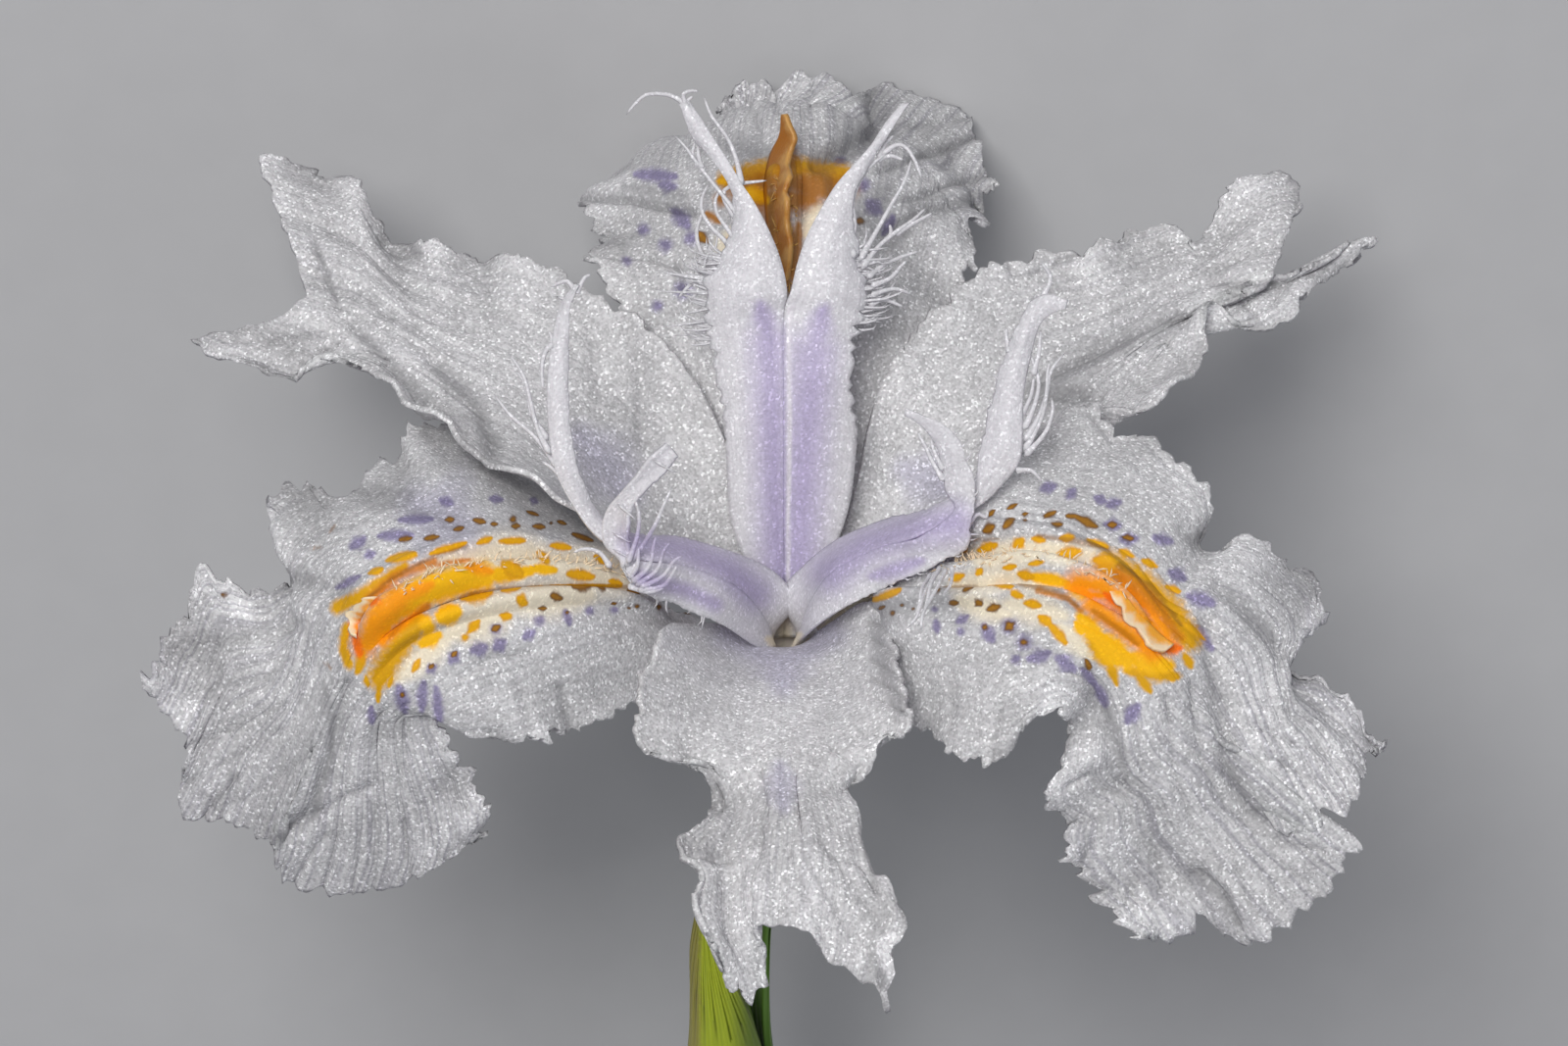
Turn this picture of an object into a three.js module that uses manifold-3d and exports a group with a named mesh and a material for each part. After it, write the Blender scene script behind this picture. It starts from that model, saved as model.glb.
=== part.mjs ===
// A fringed iris flower, cut and lying down: millimetres, +Z up, resting on z = 0.
// The bloom is worked out in its own frame: heart at the origin, +Z up the axis, the front petal towards -Y,
// and then laid on its back petal and the cut end of its stem.
import * as THREE from 'three';
import { mergeVertices } from 'three/addons/utils/BufferGeometryUtils.js';
import Module from 'manifold-3d';

const wasm = await Module();
wasm.setup();
const V = (x, y, z) => new THREE.Vector3(x, y, z);
const radians = THREE.MathUtils.degToRad;
const { clamp, lerp, smoothstep } = THREE.MathUtils;

// Driving dimensions
const bladeThickness = 0.6;                 // petals, style arms and bracts
const ridgeHeight = 0.75;                   // crest ridges
const ridgeSpread = 0.17;                   // their distance apart, as a share of the half width
const toothDepth = 0.035;                   // edge teeth, as a share of the half width
const threadRadii = [0.36, 0.32, 0.28, 0.22]; // fringe threads, root to tip
const stamenRadii = [0.3, 0.3, 0.3, 0.36, 0.38, 0.3];
const bractRadii = [1.36, 1.8, 1.9, 1.55, 1.4, 1.36]; // round the axis, foot to tip
const stemProfile = [[0.8, -29.9], [0.9, -40], [1, -57], [1.05, -75]]; // [radius, z] from the top down
const ovaryProfile = [[0.6, -22.3], [0.95, -23.6], [1.2, -26], [1.1, -28.2], [0.8, -29.6]];
const tubeProfile = [[0.3, -1.8], [1.3, -1.6], [1.75, -0.4], [2.5, -0.4], [2.1, -1.8], [1.4, -3.4], [0.95, -6],
  [0.78, -12], [0.8, -22]];
const axisLine = [[0, 0, 0], [-1.2, 0, -8], [-2.3, 0, -16], [-2.4, 0, -25], [-2.1, 0, -40], [-1.2, 0, -58],
  [0, 0, -75]];
const lean = radians(-72.92), roll = radians(-1.65), heart = V(0.37, 25.66, 23.03); // how the flower lies

// How fine the faces are
const petalRows = 30, armRows = 14, lobeRows = 9, bractRows = 12;
const fallColumns = [-1, -0.74, -0.5, -0.32, -0.23, -0.17, -0.09, 0, 0.09, 0.17, 0.23, 0.32, 0.5, 0.74, 1];
const standardColumns = [-1, -0.75, -0.5, -0.25, 0, 0.25, 0.5, 0.75, 1];
const armColumns = [-1, -0.6, -0.2, 0, 0.2, 0.6, 1], lobeColumns = [-1, 0, 1];
const bractColumns = [1, 0.7, 0.35, 0, -0.35, -0.7, -1];
const threadSides = 4, threadSteps = 4, stamenSides = 6, stamenSteps = 10, tubeSides = 16, stemSides = 12;

// How the outlines are written
// own [out, side, high]: millimetres in the petal's own frame, out from the axis, side to its left, height.
// seen [right, up, high]: right and up from the heart as seen from 240 mm away, 45 degrees above, and the height.
// seen [right, up]: the same, for a point in the petal's own upright middle plane.
const eyeDistance = 240, eyeTilt = radians(45), eyeLift = 4.66;
const eyeUp = V(0, Math.sin(eyeTilt), Math.cos(eyeTilt));
const eyeSide = V(0, -Math.cos(eyeTilt), Math.sin(eyeTilt));
const eye = eyeSide.multiplyScalar(eyeDistance).addScaledVector(eyeUp, eyeLift);

function ownPoint(azimuth, [out, side, high]) {
  const a = radians(azimuth);
  return V(out * Math.cos(a) - side * Math.sin(a), out * Math.sin(a) + side * Math.cos(a), high);
}
function seenPoint(azimuth, [right, up, high]) {
  const ray = V(right, 0, 0).addScaledVector(eyeUp, up).sub(eye);
  if (high !== undefined) return ray.multiplyScalar((high - eye.z) / ray.z).add(eye);
  const a = radians(azimuth), across = V(-Math.sin(a), Math.cos(a), 0);
  return ray.multiplyScalar(-across.dot(eye) / across.dot(ray)).add(eye);
}
const points = (azimuth, line) => [
  ...(line.own || []).map((p) => ownPoint(azimuth, p)),
  ...(line.seen || []).map((p) => seenPoint(azimuth, p)),
];

// A smooth curve through the points, asked by its share of length.
const curveSteps = 240;
function curve(list) {
  const c = new THREE.CatmullRomCurve3(list, false, 'catmullrom', 0.5);
  const at = [], far = [0];
  for (let i = 0; i <= curveSteps; i++) at.push(c.getPoint(i / curveSteps));
  for (let i = 1; i <= curveSteps; i++) far.push(far[i - 1] + at[i].distanceTo(at[i - 1]));
  return (u) => {
    const d = clamp(u, 0, 1) * far[curveSteps];
    let i = 1;
    while (i < curveSteps && far[i] < d) i++;
    return at[i - 1].clone().lerp(at[i], (d - far[i - 1]) / (far[i] - far[i - 1] || 1));
  };
}

// A value read from an even list by its share of the way along.
function along(list, u) {
  const w = u * (list.length - 1), k = Math.min(Math.floor(w), list.length - 2);
  return lerp(list[k], list[k + 1], w - k);
}

// The six petals
const petals = {
  fall_left: {
    azimuth: 210, crest: 1, teeth: 15, ruffle: 0.45, cupPower: 1.5, tipPower: 4,
    mid: { own: [[2.2, 0, 0.2], [3.4, 0, 2], [5.2, 0, 4]],
      seen: [[-6.4, 2.1], [-10, 2.7], [-13.2, 2.4], [-16, 1.3], [-17.4, -0.2], [-18.5, -2.6, 7.2],
        [-19.7, -5.8, 3.6], [-20.9, -9, -0.2]] },
    right: { own: [[2.1, -0.85, 0.1], [3.6, -1.6, 1.7], [5.2, -3, 1.8]],
      seen: [[-8, 5, 2.4], [-11.2, 7, 4.4], [-13.6, 8.7, 6.2], [-15.2, 8.8, 7.2],
        [-16, 7.4, 7.8], [-18.1, 6, 8.2], [-19.6, 6.9, 8.4], [-21.1, 5.7, 8],
        [-20.3, 3.8, 8.2], [-21.5, 2.3, 7.2], [-23.8, 2.9, 7.4], [-25, 1, 6.4], [-26.4, -1.6, 5]] },
    left: { own: [[2.1, 0.85, 0.1], [3.4, 1.3, 1.3], [6, 3.2, 2.2]],
      seen: [[-6, -2.7, 3.9], [-8, -3.9, 4.8], [-10.4, -4.6, 5.6], [-12.4, -4.2, 6.2], [-13.1, -3.1, 7],
        [-14, -2.8, 7.2], [-13.4, -3.9, 5.8], [-12.5, -5.4, 4.4], [-11.7, -6.7, 3], [-12.2, -8, 1.8]] },
    tipRight: [[-26.4, -1.6, 5], [-25.3, -3.4, 3.4], [-24.4, -4.5, 2.6], [-24.7, -7.3, -0.2],
      [-22.4, -7.8, -0.2], [-20.9, -9, -0.2]],
    tipLeft: [[-20.9, -9, -0.2], [-20.3, -10.2, -2.4], [-18, -10.6, -2.6], [-15.6, -10.2, -1.6],
      [-13.8, -9.2, 0.2], [-12.2, -8, 1.8]],
  },
  fall_right: {
    azimuth: 330, crest: 1, teeth: 15, ruffle: 0.45, tipPower: 5,
    mid: { own: [[2.2, 0, 0.2], [3.4, 0, 2], [5.2, 0, 4]],
      seen: [[6.6, 2.2], [10, 2.8], [12, 2.4], [14, 1], [15.8, -0.7], [17.6, -3.6, 5.2], [19, -6, 3.2],
        [20.2, -8, 1.6]] },
    right: { own: [[2.1, -0.85, 0.1], [3.4, -1.4, 1.5], [6, -3.6, 2.6]],
      seen: [[5.4, -3.8, 4.2], [6.4, -4.6, 4.8], [7.6, -5.4, 5.2], [8.8, -5.2, 5.8], [9.7, -4.2, 6.6],
        [10.2, -3.3, 7], [10.9, -3, 7], [11.4, -3.7, 6.2], [11.2, -5.2, 4.8], [10.3, -6.5, 3.8],
        [10.7, -7.4, 3], [11.6, -7.8, 2.8], [10.8, -8.7, 1.8], [11.4, -9.5, 1], [12, -10.2, 0.4],
        [12.7, -11.2, -0.4], [13.2, -12.2, -1.4]] },
    left: { own: [[2.1, 0.85, 0.1], [3.6, 1.6, 1.8], [6.5, 4.2, 3.6], [9.5, 6, 6.4]],
      seen: [[11.4, 8.6, 9], [12.4, 9.5, 9.6], [14, 8.4, 9.2], [15.2, 8.4, 9], [16.2, 6.9, 8.6],
        [17.6, 5.9, 8.2], [17.6, 4.6, 8], [17.7, 3.6, 7.6], [19.2, 3.8, 7.4], [20.9, 3.4, 6.8],
        [22.1, 2.4, 6], [21.8, 1.2, 5.6], [21.1, 0.4, 5.8], [21, -0.9, 5.4], [22.2, -1.4, 4.6],
        [22.9, -2.2, 4], [24, -3.4, 3.4], [24.4, -4.3, 3]] },
    tipRight: [[13.2, -12.2, -1.4], [15.2, -12.3, -2.2], [16.6, -12.3, -2.4], [17.3, -11.5, -1.8],
      [18.5, -12.6, -2.8], [20, -12.6, -2.2], [21.4, -11.4, -1.2], [22.5, -10.6, -0.4], [23.1, -9.2, 0.8],
      [23.1, -8.1, 1.6], [22, -8.5, 1.2], [20.2, -8, 1.6]],
    tipLeft: [[20.2, -8, 1.6], [22, -8, 1.8], [23, -7.4, 2.2], [23.7, -6, 2.6], [24.4, -4.3, 3]],
  },
  fall_back: {
    azimuth: 90, crest: 1, teeth: 13, ruffle: 0.3, cupPower: 1.3,
    mid: { own: [[2.2, 0, 0.2], [3.4, 0, 2], [5.2, 0, 4], [7.6, -0.1, 6.6], [11.6, -0.2, 9.4],
      [15.2, -0.2, 10.8], [18.4, -0.2, 11.2], [20.6, -0.3, 10.6]],
      seen: [[1, 20.8, 9.4], [2.1, 21.1, 8.8], [3, 21.6, 7.8]] },
    right: { own: [[2.1, -0.85, 0.1], [3.6, -1.6, 2], [6.5, -4.2, 4.2], [9.5, -6.4, 6.2]],
      seen: [[8, 15.4, 7.4], [7.7, 16.4, 7.6], [8.6, 16.5, 7.4], [8.3, 17.4, 7.2], [8.7, 18.4, 7]] },
    left: { own: [[2.1, 0.85, 0.1], [3.6, 1.6, 2], [6.5, 4.2, 4.2], [9.8, 6.2, 6.2]],
      seen: [[-7.6, 14.5, 7.6], [-8.3, 15.5, 7.4], [-7.9, 16.4, 7], [-8.5, 17.5, 5.6], [-8, 17.9, 3.4],
        [-6, 18.1, 2.4], [-4, 18.8, 3.6], [-2.8, 20, 5.8], [-2.8, 21.1, 7.4]] },
    tipRight: [[8.7, 18.4, 7], [8.2, 19.4, 6.6], [8, 20.4, 6.1], [7.5, 21.5, 5.9], [6.4, 21.9, 6.2],
      [5.2, 22.4, 6.8], [4, 22.7, 7.4], [3.2, 22.4, 7.6], [3, 21.6, 7.8]],
    tipLeft: [[3, 21.6, 7.8], [2.7, 22.3, 8.2], [1.8, 22.8, 8.4], [0.4, 22.9, 8.6], [-0.4, 22.4, 8.4],
      [-1.4, 22.8, 8.2], [-2.2, 22.1, 7.8], [-2.8, 21.1, 7.4]],
  },
  standard_left: {
    azimuth: 150, crest: 0, teeth: 15, ruffle: 0.3,
    mid: { own: [[2.2, 0, 0.2], [4, 0, 2.2], [8, 0, 5.2], [12, 0, 7.2], [16, 0, 8], [20, 0, 8.6]],
      seen: [[-19.5, 13.9, 8.8]] },
    right: { own: [[2.1, -0.85, 0.1]],
      seen: [[-1.4, 2.8, 1.6], [-1.8, 5.2, 3.6], [-2.4, 8, 5.6], [-4, 11.1, 7.6], [-6, 13.3, 8.7],
        [-8, 14.4, 9.2], [-9.6, 15.4, 9], [-11.2, 15.8, 8.8], [-12.8, 15.8, 8.6], [-14.4, 16.3, 8.8],
        [-15.4, 16.5, 8.6], [-16.6, 17.4, 8.8], [-17.4, 18.7, 9], [-18.4, 19.2, 9.2], [-19.6, 19.5, 9.4],
        [-20.9, 19.8, 9.6]] },
    left: { own: [[2.1, 0.85, 0.1], [3.2, 1.6, 2], [5.4, 2.9, 5.2]],
      seen: [[-8, 4.9, 7.9], [-11.2, 6.9, 9.3], [-14, 8.9, 9.8], [-15.2, 9.4, 9.4], [-16.5, 10.5, 8.6],
        [-17.5, 11.3, 8.4], [-19, 11.2, 8], [-20.6, 10.5, 7], [-22, 11, 7], [-23.4, 11.4, 6.9],
        [-24.6, 12, 6.8]] },
    tipRight: [[-20.9, 19.8, 9.6], [-21.5, 19.2, 9.6], [-20.8, 17.4, 9.4], [-20, 15.5, 9.2],
      [-19.5, 13.9, 8.8]],
    tipLeft: [[-19.5, 13.9, 8.8], [-20.8, 13, 8.4], [-22.4, 12.7, 7.8], [-24, 12.3, 7.2], [-24.6, 12, 6.8]],
  },
  standard_right: {
    azimuth: 30, crest: 0, teeth: 15, ruffle: 0.3,
    mid: { own: [[2.2, 0, 0.2], [4, 0, 2.2], [8, 0, 4.6], [12, 0.2, 6.6], [16, 0.4, 7.6],
      [19.4, 0.8, 8.2]], seen: [[18.7, 14.1, 9]] },
    right: { own: [[2.1, -0.85, 0.1], [3.2, -1.6, 1.9], [5.4, -3, 4.4]],
      seen: [[7.2, 5.4, 7.4], [9.6, 7.9, 8.4], [12.4, 9.4, 8.6], [14.6, 9.4, 8.9], [16.1, 10, 9],
        [17, 11.3, 9], [17.5, 12.4, 8.8], [17.7, 13.3, 8.8], [18.4, 12.9, 8.4], [19.6, 12.6, 8],
        [21, 12.9, 8], [21.5, 14, 8.2], [22.8, 14.9, 8.2], [24.2, 15.8, 8.5]] },
    left: { own: [[2.1, 0.85, 0.1]],
      seen: [[1.6, 2.4, 1.6], [2.5, 4.6, 3.2], [3.1, 6.8, 4.8], [3.5, 8.8, 6], [4.2, 11, 7.4],
        [5.6, 13.2, 8.5], [7, 14.6, 9], [8.1, 15.4, 9.1], [9.3, 15.6, 8.9], [10.7, 16, 8.9],
        [12.1, 15.9, 8.9], [13.2, 16.6, 9.1], [14.4, 17, 9.1], [15.8, 16.9, 9.1], [16.2, 16.1, 8.9],
        [17.1, 16.7, 9.1], [17.7, 18, 9.5], [18.5, 18.7, 9.9], [19.6, 19.2, 10.1]] },
    tipRight: [[24.2, 15.8, 8.5], [24.3, 16.3, 8.7], [23.4, 16.2, 8.8], [22, 15.3, 8.8], [20.4, 14.7, 8.9],
      [18.7, 14.1, 9]],
    tipLeft: [[18.7, 14.1, 9], [19.9, 14.6, 9.2], [20.5, 16.4, 9.7], [21.1, 17.6, 10.1],
      [21.2, 18.4, 10.1], [20.6, 19, 10.1], [19.6, 19.2, 10.1]],
  },
  standard_front: {
    azimuth: 270, crest: 0, teeth: 15, ruffle: 0.2,
    mid: { own: [[2.2, 0, 0.2], [4, 0, 1.8], [8, 0, 4], [12, 0, 5.4], [16, 0, 6]],
      seen: [[-0.2, -11.8, 4.6]] },
    right: { own: [[2.1, -0.85, 0.1]],
      seen: [[-2.4, 0.3, 2.9], [-4, 0.5, 5.3], [-5, 0.4, 6.6], [-5.6, -0.6, 7.3], [-6.1, -2, 7.4],
        [-6.2, -3.6, 7], [-5.9, -4.6, 6.4], [-4.4, -4.8, 5.4], [-3.5, -5.4, 4.9], [-2.9, -6.5, 4.6],
        [-3.4, -7.4, 5.2], [-4.2, -7.9, 5.6], [-4.1, -8.7, 5.6], [-3.7, -9.4, 5.2], [-3.8, -10.2, 5.2],
        [-3.7, -11.1, 5], [-3.1, -12.2, 4.4], [-2.6, -13, 3.6], [-2.2, -14, 2.6]] },
    left: { own: [[2.1, 0.85, 0.1]],
      seen: [[1.3, -0.3, 1.8], [2, 0.5, 3.1], [3.4, 1.4, 5.2], [4.2, 0.7, 5.9], [4.6, -0.8, 6.6],
        [5, -2.2, 7], [5.4, -3.7, 6.8], [4.6, -4, 6.2], [3.9, -4.6, 5.8], [3.7, -5.4, 5.2],
        [2.7, -6.6, 4.8], [3.2, -7.6, 5.2], [3.5, -8.8, 5.4], [3.8, -9.8, 5.2], [4.4, -10.1, 5.4],
        [5, -11, 5.4], [5.1, -12.1, 4.8], [4.5, -12.9, 4.2], [4.6, -13.8, 3.6], [4.2, -14.8, 2.8]] },
    tipRight: [[-2.2, -14, 2.6], [-2.2, -14.6, 2], [-1.8, -14.4, 2], [-1.4, -15.1, 1.4],
      [-1.1, -14.5, 1.8], [-0.6, -14.4, 2], [-0.8, -13.4, 2.8], [-1, -12.4, 3.8], [-0.9, -11.9, 4.4],
      [-0.2, -11.8, 4.6]],
    tipLeft: [[-0.2, -11.8, 4.6], [1, -12.2, 4.6], [1.8, -13.3, 4], [2.8, -13.9, 3.6], [3.8, -14.5, 3.2],
      [4.2, -14.8, 2.8]],
  },
};

// The middle surface of a petal or a style arm: s from the claw to the tip,
// t from -1 at the right edge to 1 at the left.
function surface(part) {
  const mid = curve(points(part.azimuth, part.mid));
  const right = curve(points(part.azimuth, part.right)), left = curve(points(part.azimuth, part.left));
  const tipRight = part.tipRight && curve(points(part.azimuth, { seen: part.tipRight }));
  const tipLeft = part.tipLeft && curve(points(part.azimuth, { seen: part.tipLeft }));
  const { cupPower = 2, tipPower = 3 } = part; // how the cross section bends, how far back the tip's shape reaches
  const bent = (s, t) => {
    const m = mid(s), l = left(s), r = right(s);
    const skew = l.clone().sub(r), cup = l.add(r).multiplyScalar(0.5).sub(m);
    return m.addScaledVector(skew, t / 2).addScaledVector(cup, Math.abs(t) ** cupPower);
  };
  return (s, t) => {
    const p = bent(s, t);
    if (!tipRight) return p;
    const tip = t < 0 ? tipRight(1 + t) : tipLeft(t);
    return p.addScaledVector(tip.sub(bent(1, t)), s ** tipPower);
  };
}

function normalAt(f, s, t) {
  const e = 0.012;
  const ds = f(Math.min(s + e, 1), t).sub(f(Math.max(s - e, 0), t));
  const dt = f(s, Math.min(t + e, 1)).sub(f(s, Math.max(t - e, -1)));
  return ds.cross(dt).normalize();
}

// Raised ridges of the crest, ruffles and teeth of the edge, all by formula.
const bump = (x, width) => Math.exp(-((x / width) ** 2));
function relief(part, s, t) {
  const wave = Math.sin(2 * Math.PI * (s * part.teeth * 0.5 + 0.2 * t));
  const ruffle = part.ruffle * wave * Math.abs(t) ** 3 * smoothstep(s, 0.45, 0.65);
  if (!part.crest) return ruffle;
  const run = smoothstep(s, 0.22, 0.34) * (1 - smoothstep(s, 0.54, 0.66));
  const beside = bump(t - ridgeSpread, 0.05) + bump(t + ridgeSpread, 0.05);
  return ruffle + ridgeHeight * run * (bump(t, 0.06) + 0.7 * beside);
}
const saw = (x) => x - Math.floor(x);
const toothed = (part, s, t) =>
  t * (1 - toothDepth * saw(s * part.teeth) * Math.abs(t) ** 6 * smoothstep(s, 0.3, 0.45));

function indexed(position, index) {
  const g = new THREE.BufferGeometry();
  g.setAttribute('position', new THREE.BufferAttribute(new Float32Array(position), 3));
  g.setIndex(index);
  return g;
}

// A closed blade round the middle surface: the same triangles on both faces, with a wall round the edge.
function blade(f, rows, columns, thickness) {
  const across = columns.length, position = [], index = [];
  for (const face of [1, -1])
    for (let i = 0; i <= rows; i++)
      for (const t of columns) {
        const { point, normal } = f(i / rows, t);
        position.push(...point.addScaledVector(normal, face * thickness / 2).toArray());
      }
  const under = (rows + 1) * across;
  for (let i = 0; i < rows; i++)
    for (let j = 0; j < across - 1; j++) {
      const a = i * across + j, b = a + 1, c = a + across, d = c + 1;
      index.push(a, c, b, b, c, d);
      index.push(under + a, under + b, under + c, under + b, under + d, under + c);
    }
  const ring = [];
  for (let j = 0; j < across - 1; j++) ring.push(j);
  for (let i = 0; i < rows; i++) ring.push(i * across + across - 1);
  for (let j = across - 1; j > 0; j--) ring.push(rows * across + j);
  for (let i = rows; i > 0; i--) ring.push(i * across);
  ring.forEach((a, k) => {
    const b = ring[(k + 1) % ring.length];
    index.push(a, b, under + a, b, under + b, under + a);
  });
  return indexed(position, index);
}

// Rings of vertices from first to last, skinned, with a fan from a middle point over each end.
function ringed(rings, firstMiddle, lastMiddle) {
  const sides = rings[0].length, position = [], index = [];
  rings.forEach((ring) => ring.forEach((p) => position.push(...p.toArray())));
  for (let i = 0; i < rings.length - 1; i++)
    for (let j = 0; j < sides; j++) {
      const a = i * sides + j, b = i * sides + (j + 1) % sides;
      index.push(a, b, a + sides, b, b + sides, a + sides);
    }
  const end = (middle, first, flip) => {
    const n = position.length / 3;
    position.push(...middle.toArray());
    for (let j = 0; j < sides; j++) {
      const a = first + j, b = first + (j + 1) % sides;
      index.push(...(flip ? [n, b, a] : [n, a, b]));
    }
  };
  end(firstMiddle, 0, true);
  end(lastMiddle, (rings.length - 1) * sides, false);
  return indexed(position, index);
}

// A round bar along a curve with a radius that changes along it.
function bar(list, radii, sides, steps) {
  const c = curve(list), rings = [];
  let side = V(1, 0, 0);
  for (let i = 0; i <= steps; i++) {
    const u = i / steps, p = c(u);
    const forward = c(Math.min(u + 0.02, 1)).sub(c(Math.max(u - 0.02, 0))).normalize();
    side = side.addScaledVector(forward, -side.dot(forward));
    if (side.length() < 0.05) side = V(0, 1, 0).addScaledVector(forward, -forward.y);
    side = side.normalize();
    const other = forward.clone().cross(side), r = along(radii, u);
    rings.push(Array.from({ length: sides }, (_, j) => {
      const a = 2 * Math.PI * j / sides;
      return p.clone().addScaledVector(side, r * Math.cos(a)).addScaledVector(other, r * Math.sin(a));
    }));
  }
  return ringed(rings, c(0), c(1));
}

// Solids joined
function solid(geometry) {
  const plain = new THREE.BufferGeometry();
  plain.setAttribute('position', geometry.getAttribute('position')).setIndex(geometry.index);
  const merged = mergeVertices(plain, 1e-4);
  const vertProperties = new Float32Array(merged.attributes.position.array);
  const triVerts = new Uint32Array(merged.index.array);
  return new wasm.Manifold(new wasm.Mesh({ numProp: 3, vertProperties, triVerts }));
}
function geometryOf(s) {
  const m = s.getMesh(), position = [];
  for (let i = 0; i < m.numVert; i++) {
    const first = i * m.numProp;
    position.push(...m.vertProperties.subarray(first, first + 3));
  }
  return indexed(position, new THREE.BufferAttribute(m.triVerts, 1));
}
const union = (list) => list.reduce((a, b) => a.add(b));

// Materials
const petalWhite = 0xe9e6f2, styleWhite = 0xd9d0ec, antherCream = 0xf3ead0;
const bractGreen = 0x9fb95a, stemGreen = 0x6f9a4c;
const material = (color) => new THREE.MeshStandardMaterial({ color, roughness: 0.6, metalness: 0 });

const group = new THREE.Group();
function add(name, geometry, color) {
  const mesh = new THREE.Mesh(geometry, material(color));
  mesh.name = name;
  group.add(mesh);
}

// Petals
for (const [name, part] of Object.entries(petals)) {
  const f = surface(part);
  const dressed = (s, t) => {
    const normal = normalAt(f, s, t);
    return { point: f(s, toothed(part, s, t)).addScaledVector(normal, relief(part, s, t)), normal };
  };
  add(name, blade(dressed, petalRows, part.crest ? fallColumns : standardColumns, bladeThickness), petalWhite);
}

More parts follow.
